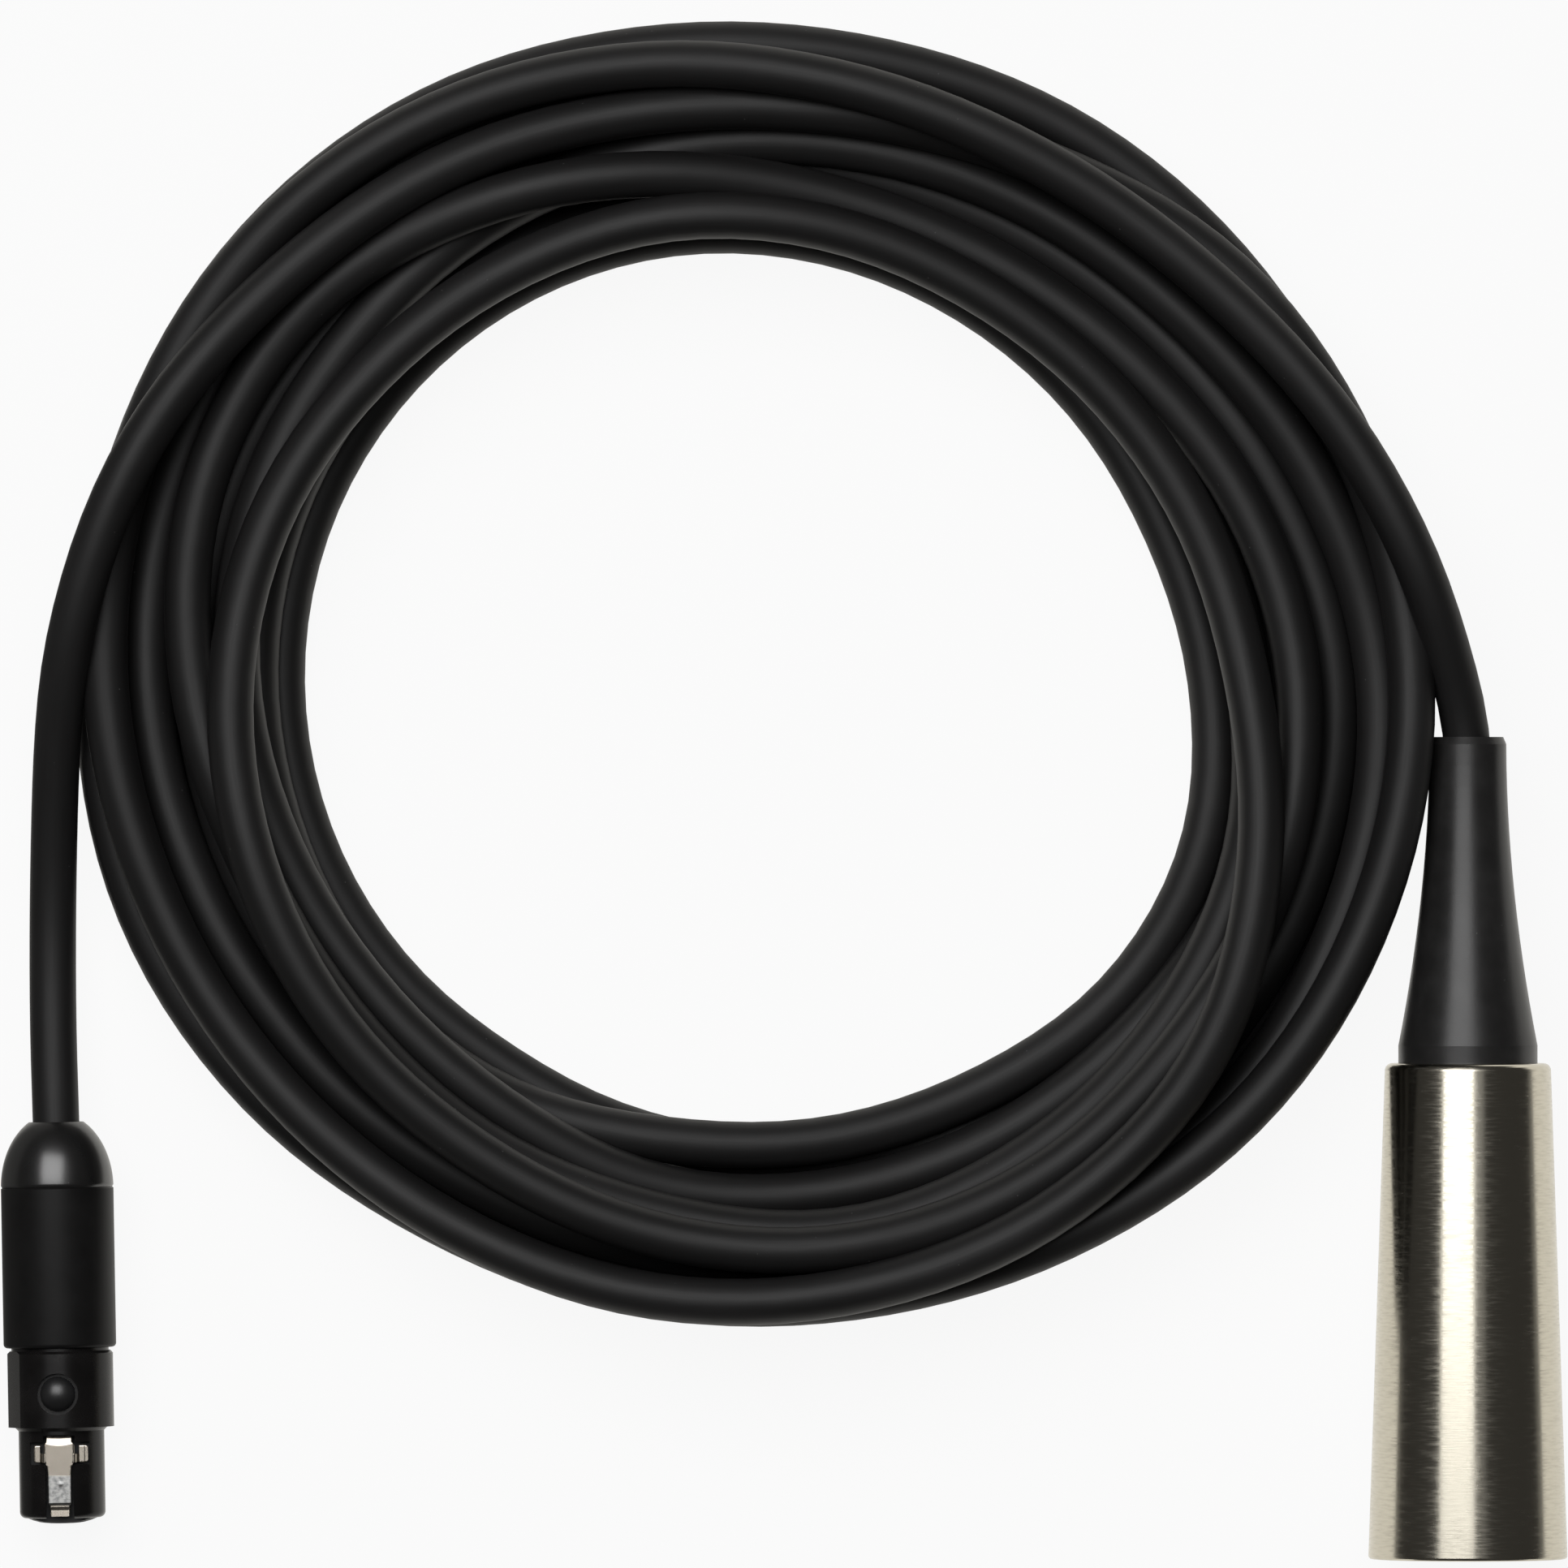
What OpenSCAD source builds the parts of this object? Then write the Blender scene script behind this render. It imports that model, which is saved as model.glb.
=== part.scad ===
// Coiled microphone cord with a three-pin XLR plug at one end and a three-pin mini socket at the other.
// Millimetres, +Z up. The origin lies on the table, at the centre of the ground that the object covers.
// Both connectors are drawn along their own axis: z runs from the cord's side to the mating end, y is up.

/* [Cord] */
// Diameter of the cord's jacket
cord_d = 4.5; // [4:0.1:4.8]
// Diameter of an insulated conductor in the large plug
xlr_wire_d = 1.1; // [0.8:0.1:1.4]
// Diameter of an insulated conductor in the small socket
mini_wire_d = 0.8; // [0.6:0.1:0.9]

/* [Coil] */
// Centre of the coil, across
coil_x = -3.1; // [-6:0.1:0]
// Centre of the coil, along
coil_y = 10.5; // [8:0.5:12]
// Radius of the innermost loop, at the cord's centre
coil_inner_r = 45.3; // [42:0.1:47]
// Whole turns, besides the part turn between the two ends
coil_turns = 13; // [9:1:16]
// Layers of loops; the cord winds in and out again, so the number is even
coil_layers = 4; // [2:2:4]
// Direction from the centre in which the small socket's end leaves
coil_start_angle = 160; // [150:1:170]
// Direction from the centre in which the plug's end leaves
coil_end_angle = 20; // [10:1:30]
// Air between loops side by side
loop_gap = 0.6; // [0.5:0.1:1]
// Air between loops one above the other
layer_gap = 0.45; // [0.42:0.01:0.7]

/* [Plug shell] */
// Place of the shell's rear edge, across
xlr_x = 65.9; // [64:0.1:68]
// Place of the shell's rear edge, along
xlr_y = -26.4; // [-28:0.1:-25]
// Length of the metal shell
shell_len = 47.7; // [44:0.1:52]
// Outer diameter of the shell at its rear
shell_rear_d = 16; // [15.8:0.1:16.6]
// Outer diameter of the shell at its mouth
shell_mouth_d = 19.15; // [18.9:0.05:19.8]
// Bore of the mouth
mouth_d = 16.2; // [15.9:0.1:16.4]
// Bore of the cavity behind the insert
cavity_d = 14.4; // [14:0.1:14.6]
// Thickness of the lip that the strain relief passes through
lip_t = 2; // [1.5:0.1:2.5]
// Radius of the rounded rear shoulder
shoulder_r = 0.7; // [0.4:0.1:0.8]
// Depth of the mouth, from the rim to the insert's face
mouth_depth = 15.5; // [14.5:0.1:16.5]
// Width of the key rib in the mouth
key_w = 2.2; // [1.8:0.1:2.6]
// Height of the key rib
key_h = 0.9; // [0.6:0.1:1.1]

/* [Plug inside] */
// Thickness of the insert's disc
insert_t = 4.2; // [3.6:0.1:5]
// Length of the insert's rear boss
insert_boss = 4; // [3:0.1:5]
// Diameter of a contact pin
pin_d = 2.4; // [2.2:0.1:2.5]
// Free length of a contact pin
pin_len = 13; // [12:0.1:13.5]
// Radius of the circle that the pins stand on
pin_circle_r = 4.1; // [3.9:0.1:4.2]
// Diameter of the contact's shank in the insert
shank_d = 2.8; // [2.75:0.05:2.9]
// Diameter of the solder cup
cup_d = 3; // [2.9:0.1:3.2]
// Length of the solder cup
cup_len = 3.5; // [2.5:0.1:4.5]
// Bore of the solder cup
cup_bore = 1.8; // [1.5:0.1:2]
// Diameter of the screw that holds the insert
insert_screw_d = 2.2; // [1.8:0.1:2.6]
// Thickness of the ground tag
tag_t = 0.4; // [0.3:0.1:0.6]
// Width of the ground tag
tag_w = 2.4; // [2:0.1:3]

/* [Strain relief] */
// Length of the flared rubber sleeve outside the shell
relief_len = 31.4; // [28:0.1:34]
// Diameter of the sleeve at its thin end
relief_tip_d = 7.4; // [7:0.1:8]
// Diameter of the band next to the shell
relief_base_d = 13.4; // [12.9:0.1:13.6]
// Length of that band
relief_band = 1.7; // [1.2:0.1:2.5]
// Thickness of the flange inside the shell
flange_t = 1.75; // [1.5:0.05:2.2]
// Outer diameter of the sleeve that the clamp grips
grip_d = 10; // [9:0.1:10.2]
// Length of that sleeve
grip_len = 6.2; // [5.6:0.1:7]
// Wall of the clamp collar
collar_wall = 1.35; // [1.1:0.05:1.4]
// Width of the clamp collar
collar_w = 4; // [3.4:0.1:4.6]
// Diameter of the clamp screw
clamp_screw_d = 1; // [0.8:0.1:1.1]

/* [Small socket] */
// Place of the handle's rear end, across
mini_x = -70.1; // [-72:0.1:-69]
// Place of the handle's rear end, along
mini_y = -32.1; // [-34:0.1:-30]
// Lean of the socket, in degrees
mini_lean = 1; // [0:0.5:3]
// Roll of the socket about its own axis, in degrees
mini_roll = 2.3; // [0:0.1:5]
// Diameter of the handle
handle_d = 10.86; // [10.7:0.02:11.2]
// Length of the domed end
dome_len = 6.3; // [5.6:0.1:7]
// Length of the handle, with the dome
handle_len = 21.75; // [21:0.05:23]
// Wall of the handle
handle_wall = 0.68; // [0.5:0.02:0.8]
// Rounding of the handle's front rim
handle_lip = 0.4; // [0.3:0.05:0.5]
// Gap between the handle and the front block
ring_gap = 0.3; // [0.2:0.05:0.5]
// Width of the front block
block_w = 10.2; // [9.9:0.05:10.5]
// Length of the front block
block_len = 7.35; // [7:0.05:8]
// Bevel of the block's rear edge
block_bevel = 0.25; // [0.1:0.05:0.4]
// Distance from the middle at which the flat down the block's left side starts
block_side_x = 3.7; // [3.4:0.1:4.2]
// Diameter of the nose
nose_d = 8.26; // [8.1:0.02:8.4]
// Rounding of the nose's rim
nose_rim = 0.6; // [0.4:0.05:0.8]
// Length of the nose
nose_len = 8.75; // [8.5:0.05:9.5]
// Height and width of the bevelled step at the nose's root
nose_root = 0.35; // [0.2:0.05:0.5]
// Rise of the insert's domed face beyond the nose's rim
face_rise = 0.55; // [0.3:0.05:0.7]
// Wall of the nose
nose_wall = 0.68; // [0.55:0.01:0.75]
// Bore of a socket contact
socket_bore = 1; // [0.9:0.05:1.1]
// Outer diameter of a socket contact
socket_d = 1.5; // [1.4:0.05:1.6]
// Radius of the circle that the sockets stand on
socket_circle_r = 1.75; // [1.6:0.05:1.8]
// Depth of a socket
socket_depth = 5; // [4:0.1:6]

/* [Latch and button] */
// Thickness of the spring leaf
latch_t = 0.3; // [0.25:0.01:0.35]
// Width of the leaf under the button
leaf_w = 2.4; // [2:0.1:2.6]
// Width of the latch's stem, where it comes out of the block
stem_w = 2.74; // [2.4:0.02:2.8]
// Width of the latch's plate
plate_w = 2.4; // [2.2:0.05:2.6]
// Width of the latch's catch
catch_w = 2.1; // [1.8:0.05:2.2]
// Width over the two ears
ears_w = 5.4; // [5:0.05:5.5]
// Travel of the button
button_travel = 0.4; // [0.2:0.05:0.45]
// Diameter of the button
button_d = 3.3; // [3:0.05:3.6]
// Diameter of the recess round the button
button_recess_d = 4; // [3.9:0.05:4.2]
// Height of the button's dome above the block's flat
button_rise = 0.7; // [0.5:0.05:0.9]

/* [Hidden] */
$fn = 64;
fit = 0.05;
run = 0.15;
eps = 0.01;
tag_gap = 0.06;

// Coil
sides = 6;
rings_per_turn = 24;
loop_pitch = cord_d + loop_gap;
layer_pitch = cord_d + layer_gap;
flat_cut = cord_d / 10;
all_turns = coil_turns + (coil_start_angle - coil_end_angle) / 360;
layer_turns = all_turns / coil_layers;
coil_outer_r = coil_inner_r + layer_turns * loop_pitch;
coil_rings = round(all_turns * rings_per_turn);

// Free stretches of the cord, by points along the route
lead_xlr_route = [
    [60.9, 17.2, 15.0], [63.2, 11.4, 12.4], [64.8, 6.8, 10.4]
];
lead_mini_route = [
    [-66.9, 17.6, 2.4], [-69.2, 8.0, 2.8], [-70.3, -2.5, 3.3],
    [-70.6, -13.0, 4.1], [-70.4, -23.0, 5.1]
];

// Plug
xlr_z = shell_mouth_d / 2;
insert_face = shell_len - mouth_depth;
insert_seat = insert_face - insert_t;
insert_rear = insert_seat - insert_boss;
hole_rear_d = relief_base_d + 2 * fit;
flange_rear = lip_t + fit;
grip_start = flange_rear + flange_t;
grip_end = grip_start + grip_len;
cord_end = grip_end + 3;
cup_rear = insert_rear - cup_len;
cup_depth = cup_len - 0.7;
pin_angles = [180, 0, 270];
screw_z = insert_seat + insert_t / 2;
screw_tip = pin_circle_r + shank_d / 2 + 0.95;
screw_sink = 0.15;
collar_start = grip_start + (grip_len - collar_w) / 2;
collar_r = grip_d / 2 + fit + collar_wall;
lug_top = cavity_d / 2 - 0.45;
slit = 1.6;
lug_t = 1.3;
tag_y = cavity_d / 2 - 1.8;
tag_len = 9.5;
tag_in = 3;
bore_r = cord_d / 2 + fit;
bell_r = bore_r + 0.95;
bell_len = 3;

// Small socket
// The socket lies level on its handle
handle_r = handle_d / 2;
mini_z = handle_r;
handle_bore = handle_r - handle_wall;
spigot_start = 13;
block_start = handle_len + ring_gap;
nose_start = block_start + block_len;
nose_end = nose_start + nose_len;
nose_r = nose_d / 2;
nose_bore = nose_r - nose_wall;
block_r = block_w / 2;
spigot_r = handle_bore - fit;
spigot_bore = spigot_r - 0.75;
collar_seat = block_start + 2;
mini_insert_r = nose_bore - fit;
mini_collar_r = spigot_bore - fit;
mini_collar_t = 1.4;
mini_insert_rear = collar_seat - mini_collar_t;
mini_face = nose_end - 0.4;
mini_cup_rear = mini_insert_rear - 2.2;
mini_cup_bore = socket_bore + 0.1;
mini_cord_end = 12;
mini_clamp_start = 8;
mini_clamp_w = 3;
socket_angles = [30, 150, 270];

// Latch and button
latch_y = nose_r - 0.28;
ramp_rise = 0.55;
leaf_y = latch_y - ramp_rise;
leaf_start = spigot_start + 0.35;
pivot_z = spigot_start + 1.1;
pad_end = spigot_start + 2.2;
ramp_start = nose_start + 0.3;
ramp_end = nose_start + 1.6;
ears_start = nose_start + 1.7;
bar_start = nose_start + 2.5;
ears_end = nose_start + 3.4;
stem_end = nose_start + 3.8;
plate_end = nose_start + 7.65;
catch_end = nose_end - 0.3;
catch_drop = 0.25;
ear_in = 1.75;
ear_r = nose_r - 0.08;
button_z = block_start + 4.1;
button_seat = leaf_y + 1.2;
nub_y = leaf_y + fit;
nub_h = 0.15;
button_flange_t = 0.3;
button_flange_d = button_d + 0.8;
pocket_top = nub_y + nub_h + button_flange_t + fit;
recess_depth = 0.3;

// The ears dip this far when the button is pressed home, and the insert's flat lies clear below them
ears_dip = button_travel * (ears_end - pivot_z) / (button_z - pivot_z);
ears_low = sqrt(pow(ear_r - latch_t, 2) - pow(ears_w / 2, 2)) - ears_dip;
insert_flat = ears_low - 0.18;
channel_floor = insert_flat + fit;

// ---- Helpers ----

function clamp01(v) = min(1, max(0, v));
function smooth(v) = v * v * (3 - 2 * v);
function unit(v) = v / norm(v);
function arc(cx, cy, r, a0, a1, n) =
    [for (i = [0 : n]) [cx + r * cos(a0 + (a1 - a0) * i / n), cy + r * sin(a0 + (a1 - a0) * i / n)]];

// Faces of a closed tube: rings of n points one after another, and a fan at each end
function tube_faces(rings, n) = concat(
    [for (i = [0 : rings - 2], k = [0 : n - 1])
        [i * n + k, i * n + (k + 1) % n, (i + 1) * n + k]],
    [for (i = [0 : rings - 2], k = [0 : n - 1])
        [i * n + (k + 1) % n, (i + 1) * n + (k + 1) % n, (i + 1) * n + k]],
    [for (k = [1 : n - 2]) [0, k + 1, k]],
    [for (k = [1 : n - 2]) [(rings - 1) * n, (rings - 1) * n + k, (rings - 1) * n + k + 1]]
);

// Direction of a route at its point i
function heading(route, i) =
    unit(route[min(i + 1, len(route) - 1)] - route[max(i - 1, 0)]);

// A tube of diameter d along a route that never runs straight up; nothing of it goes below z = floor_z
module tube(route, d, n, floor_z = -1000) {
    points = [for (i = [0 : len(route) - 1])
        let (t = heading(route, i), side = unit(cross(t, [0, 0, 1])), up = cross(side, t))
        for (k = [0 : n - 1])
            let (p = route[i] + d / 2 * (cos(360 * k / n) * side - sin(360 * k / n) * up))
            [p.x, p.y, max(floor_z, p.z)]];
    polyhedron(points, tube_faces(len(route), n), convexity = 4);
}

module at_xlr() {
    translate([xlr_x, xlr_y, xlr_z]) rotate([90, 0, 0]) children();
}

module at_mini() {
    translate([mini_x, mini_y, mini_z]) rotate([90, 0, mini_lean]) rotate(mini_roll) children();
}

// A straight round along z, from z0 to z1
module rod(d, z0, z1) {
    translate([0, 0, z0]) cylinder(d = d, h = z1 - z0);
}

// A box by its half width, its heights and its ends
module bar(half_w, y0, y1, z0, z1) {
    translate([-half_w, y0, z0]) cube([2 * half_w, y1 - y0, z1 - z0]);
}

// ---- Cord ----

// Radius, height and place of the coil's centreline after t turns, clockwise from the start
function coil_r(t) =
    let (k = min(floor(t / layer_turns), coil_layers - 1), u = t - k * layer_turns)
    k % 2 == 0 ? coil_outer_r - loop_pitch * u : coil_inner_r + loop_pitch * u;
function climbs(t, k) =
    k == 0 ? 0 : smooth(clamp01(2 * (t - k * layer_turns) + 0.5)) + climbs(t, k - 1);
function coil_z(t) = cord_d / 2 - flat_cut + layer_pitch * climbs(t, coil_layers - 1);
function coil_angle(t) = coil_start_angle - 360 * t;
function outward(a) = [cos(a), sin(a), 0];
function coil_point(t) =
    [coil_x, coil_y, coil_z(t)] + coil_r(t) * outward(coil_angle(t));

// Each ring's turn and how far it stands beyond the coil, straight on, by one cord diameter at the ends
coil_marks = concat(
    [[0, -cord_d]],
    [for (i = [0 : coil_rings]) [all_turns * i / coil_rings, 0]],
    [[all_turns, cord_d]]
);
function mark_place(m) =
    let (a = coil_angle(m[0])) coil_point(m[0]) + m[1] * [sin(a), -cos(a), 0];

// Least gap of the cord to itself, between places at least half a turn apart
function coil_gap() =
    let (p = [for (i = [0 : coil_rings]) coil_point(all_turns * i / coil_rings)])
    min([for (i = [0 : 4 : coil_rings - 12], j = [i + 12 : coil_rings]) norm(p[i] - p[j])]) - cord_d;
echo(least_gap_of_the_coil_to_itself = coil_gap());

module cable_coil() {
    points = [for (m = coil_marks, k = [0 : sides - 1])
        let (p = mark_place(m) + cord_d / 2 * (cos(360 * k / sides) * outward(coil_angle(m[0]))
                 + sin(360 * k / sides) * [0, 0, 1]))
        [p.x, p.y, max(0, p.z)]];
    color([0.05, 0.05, 0.055])
    polyhedron(points, tube_faces(len(coil_marks), sides), convexity = 10);
}

module cable_lead_xlr() {
    end = [for (s = [-1.5, cord_end / 2, cord_end]) [xlr_x, xlr_y - s, xlr_z]];
    last = mark_place(coil_marks[len(coil_marks) - 1]);
    next = last + cord_d * [sin(coil_end_angle), -cos(coil_end_angle), 0];
    inside = [[xlr_x, xlr_y + relief_len - bell_len - 1, xlr_z]];
    color([0.05, 0.05, 0.055])
    tube(concat([last, next], lead_xlr_route, inside, end), cord_d, 8, 0);
}

module cable_lead_mini() {
    first = mark_place(coil_marks[0]);
    next = first - cord_d * [sin(coil_start_angle), -cos(coil_start_angle), 0];
    along = [sin(mini_lean), -cos(mini_lean), 0];
    end = [for (s = [-1, mini_cord_end / 2, mini_cord_end]) [mini_x, mini_y, mini_z] + s * along];
    color([0.05, 0.05, 0.055])
    tube(concat([first, next], lead_mini_route, end), cord_d, 8, 0);
}

// ---- Large plug ----

module xlr_shell() {
    rear_r = shell_rear_d / 2;
    mouth_r = shell_mouth_d / 2;
    rim = 0.3;
    color([0.78, 0.75, 0.70])
    at_xlr() difference() {
        union() {
            rotate_extrude($fn = 96) polygon(concat(
                [[hole_rear_d / 2, 0]],
                arc(rear_r - shoulder_r, shoulder_r, shoulder_r, 270, 360, 6),
                arc(mouth_r - rim, shell_len - rim, rim, 0, 90, 4),
                [[mouth_d / 2 + rim, shell_len], [mouth_d / 2, shell_len - rim]],
                [[mouth_d / 2, insert_seat], [cavity_d / 2, insert_seat]],
                [[cavity_d / 2, lip_t], [hole_rear_d / 2, lip_t]]
            ));
            bar(key_w / 2, -mouth_d / 2 - 0.4, key_h - mouth_d / 2, insert_face + run, shell_len - 2);
        }
        // Hole of the insert's screw, and the recess that the other plug's latch snaps into
        translate([0, 0, screw_z]) rotate([90, 0, 0]) cylinder(d = insert_screw_d + 2 * fit, h = mouth_r + 1);
        bar(2.5, mouth_d / 2 - 1, mouth_d / 2 + 0.6, shell_len - 8.5, shell_len - 4.5);
    }
}

module xlr_insert() {
    color([0.09, 0.09, 0.10])
    at_xlr() difference() {
        union() {
            rod(mouth_d - 2 * fit, insert_seat, insert_face);
            rod(cavity_d - 4 * fit, insert_rear, insert_seat + eps);
        }
        for (a = pin_angles)
            rotate(a) translate([pin_circle_r, 0, 0]) rod(shank_d + 2 * fit, insert_rear - 1, insert_face + 1);
        translate([0, fit - screw_tip, screw_z]) rotate([90, 0, 0])
            cylinder(d = insert_screw_d + 2 * fit, h = mouth_d / 2);
        bar(tag_w / 2 + fit, tag_y - fit, tag_y + tag_t + fit, insert_rear - 1, insert_rear + tag_in + fit);
    }
}

// Turned pin with a rounded tip, a shank in the insert and a solder cup behind it
module xlr_contact(a) {
    tip = 0.6;
    color([0.80, 0.78, 0.72])
    at_xlr() rotate(a) translate([pin_circle_r, 0, 0]) difference() {
        rotate_extrude() polygon(concat(
            [[0, cup_rear], [cup_d / 2, cup_rear], [cup_d / 2, insert_rear], [shank_d / 2, insert_rear]],
            [[shank_d / 2, insert_face], [pin_d / 2, insert_face]],
            arc(pin_d / 2 - tip, insert_face + pin_len - tip, tip, 0, 90, 6),
            [[0, insert_face + pin_len]]
        ));
        rod(cup_bore, cup_rear - 1, cup_rear + cup_depth);
    }
}

module xlr_contact_1() { xlr_contact(pin_angles[0]); }
module xlr_contact_2() { xlr_contact(pin_angles[1]); }
module xlr_contact_3() { xlr_contact(pin_angles[2]); }

module xlr_insert_screw() {
    head = shell_rear_d / 2 + (shell_mouth_d - shell_rear_d) / 2 * screw_z / shell_len - screw_sink;
    color([0.55, 0.55, 0.56])
    at_xlr() difference() {
        translate([0, -screw_tip, screw_z]) rotate([90, 0, 0]) cylinder(d = insert_screw_d, h = head - screw_tip);
        bar(insert_screw_d, -head - eps, -head + 0.5, screw_z - 0.2, screw_z + 0.2);
    }
}

module xlr_ground_tag() {
    color([0.75, 0.73, 0.68])
    at_xlr() difference() {
        bar(tag_w / 2, tag_y, tag_y + tag_t, insert_rear + tag_in - tag_len, insert_rear + tag_in);
        translate([0, tag_y - 1, insert_rear + tag_in - tag_len + 1.4]) rotate([-90, 0, 0])
            cylinder(d = 1.2, h = tag_t + 2);
    }
}

// Rubber sleeve: the flare grows slowly at first and fast near the shell
module xlr_strain_relief() {
    tip_r = relief_tip_d / 2;
    base_r = relief_base_d / 2;
    flare = relief_len - relief_band;
    rim = 0.7;
    color([0.04, 0.04, 0.045])
    at_xlr() rotate_extrude($fn = 96) polygon(concat(
        [[bore_r, grip_end], [bore_r, bell_len - relief_len]],
        [[bell_r, -relief_len]],
        [[tip_r - 0.3, -relief_len], [tip_r, rim - relief_len]],
        [for (i = [1 : 14]) let (u = i / 14)
            [tip_r + (base_r - tip_r) * pow(u, 1.9), rim - relief_len + (flare - rim) * u]],
        [[base_r, flange_rear], [cavity_d / 2 - 2 * fit, flange_rear]],
        [[cavity_d / 2 - 2 * fit, grip_start], [grip_d / 2, grip_start], [grip_d / 2, grip_end]]
    ));
}

// Split collar with two lugs that the screw draws together
module xlr_cable_clamp() {
    color([0.70, 0.68, 0.62])
    at_xlr() difference() {
        union() {
            rod(2 * collar_r, collar_start, collar_start + collar_w);
            translate([grip_d / 2, -slit / 2 - lug_t, collar_start])
                cube([lug_top - grip_d / 2, slit + 2 * lug_t, collar_w]);
        }
        rod(grip_d + 2 * fit, collar_start - 1, collar_start + collar_w + 1);
        translate([0, -slit / 2, collar_start - 1]) cube([cavity_d, slit, collar_w + 2]);
        clamp_screw_shape(clamp_screw_d + 2 * fit);
    }
}

module clamp_screw_shape(d) {
    translate([(grip_d / 2 + fit + lug_top) / 2, slit / 2 + lug_t + eps, collar_start + collar_w / 2])
        rotate([90, 0, 0]) cylinder(d = d, h = slit + 2 * lug_t + 2 * eps, $fn = 32);
}

module xlr_clamp_screw() {
    color([0.55, 0.55, 0.56])
    at_xlr() clamp_screw_shape(clamp_screw_d);
}

// Conductor from the cord's end to a solder cup
module xlr_wire(a, tint) {
    near = 0.9 * outward(a);
    far = pin_circle_r * outward(a);
    reach = cup_rear - cord_end;
    color(tint)
    at_xlr() rotate([90, 0, 0]) tube([for (s = [[0, 0], [0.12, 0], [0.35, 0.2], [0.6, 0.7], [0.8, 0.97], [1, 1]])
        let (c = near + (far - near) * s[1]) [c.x, cord_end + reach * s[0], -c.y],
        [far.x, cup_rear + cup_depth - 0.4, -far.y]], xlr_wire_d, 8);
}

module xlr_wire_shield() { xlr_wire(pin_angles[0], [0.10, 0.10, 0.10]); }
module xlr_wire_red() { xlr_wire(pin_angles[1], [0.60, 0.08, 0.06]); }
module xlr_wire_white() { xlr_wire(pin_angles[2], [0.85, 0.84, 0.80]); }

// ---- Small socket ----

// Domed tube: an ellipse closes it behind, with a fine groove where the dome meets the straight part
module mini_handle() {
    dome_a = dome_len * 1.143;
    groove = 0.12;
    color([0.06, 0.06, 0.065])
    at_mini() rotate_extrude($fn = 96) polygon(concat(
        [[bore_r, 0], [cord_d / 2 + 0.35, 0]],
        [for (i = [1 : 12]) let (z = dome_len * (1 - cos(90 * i / 12)))
            [handle_r * sqrt(1 - pow((dome_len - z) / dome_a, 2)) - (i == 12 ? groove : 0), z]],
        [[handle_r, dome_len + groove]],
        arc(handle_r - handle_lip, handle_len - handle_lip, handle_lip, 0, 90, 4),
        [[handle_bore, handle_len], [handle_bore, dome_len + 0.3]],
        [[bore_r, 1.6]]
    ));
}

// Section of the front block: round, with a shallow flat down its left side
module block_section() {
    difference() {
        circle(r = block_r, $fn = 96);
        polygon([
            [-block_r, 0], [-block_side_x, sqrt(block_r * block_r - block_side_x * block_side_x)],
            [-block_side_x, block_w], [-block_w, block_w], [-block_w, 0]
        ]);
    }
}

module mini_body() {
    color([0.05, 0.05, 0.055])
    at_mini() difference() {
        union() {
            rod(2 * spigot_r, spigot_start, block_start + eps);
            intersection() {
                translate([0, 0, block_start]) linear_extrude(block_len) block_section();
                rotate_extrude($fn = 96) polygon([
                    [0, block_start], [block_r - block_bevel, block_start],
                    [block_w, block_start + block_bevel + block_w - block_r], [block_w, nose_end], [0, nose_end]
                ]);
            }
            rotate_extrude($fn = 96) polygon(concat(
                [[0, nose_start - 1], [nose_r + nose_root, nose_start - 1]],
                [[nose_r + nose_root, nose_start], [nose_r, nose_start + nose_root]],
                arc(nose_r - nose_rim, nose_end - nose_rim, nose_rim, 0, 90, 6),
                [[0, nose_end]]
            ));
        }
        // Bore, with a wider seat behind for the insert's collar; the pad for the leaf's root is left
        rod(2 * nose_bore, collar_seat - 1, nose_end + 1);
        difference() {
            rod(2 * spigot_bore, spigot_start - 1, collar_seat);
            bar(spigot_bore, leaf_y - 1, spigot_bore + 1, spigot_start - 2, pad_end);
        }
        bar(leaf_w / 2 + tag_gap, leaf_y - latch_t - tag_gap, leaf_y + tag_gap, spigot_start + 0.2, pad_end + 1);
        // Channel of the leaf, slot of the stem and plate, and the recess of the ears
        bar(leaf_w / 2 + run, channel_floor, leaf_y + run, collar_seat - 1, nose_start);
        bar(stem_w / 2 + run, channel_floor, pocket_top, nose_start - 1, nose_start + eps);
        bar(stem_w / 2 + run, channel_floor, nose_r + 1, nose_start, stem_end + run);
        bar(plate_w / 2 + run, channel_floor, nose_r + 1, stem_end, nose_end + 1);
        bar(ears_w / 2 + run, channel_floor, nose_r + 1, ears_start - 0.3, ears_end + run);
        // Button's hole, its shallow recess, and the pocket that keeps its flange in
        translate([0, button_seat + 1, button_z]) rotate([90, 0, 0])
            cylinder(d = button_d + 2 * fit, h = button_seat);
        translate([0, button_seat + 1, button_z]) rotate([90, 0, 0])
            cylinder(d = button_recess_d, h = 1 + recess_depth);
        translate([0, pocket_top, button_z]) rotate([90, 0, 0])
            cylinder(d = button_flange_d + 2 * fit, h = pocket_top - channel_floor);
    }
}

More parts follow.
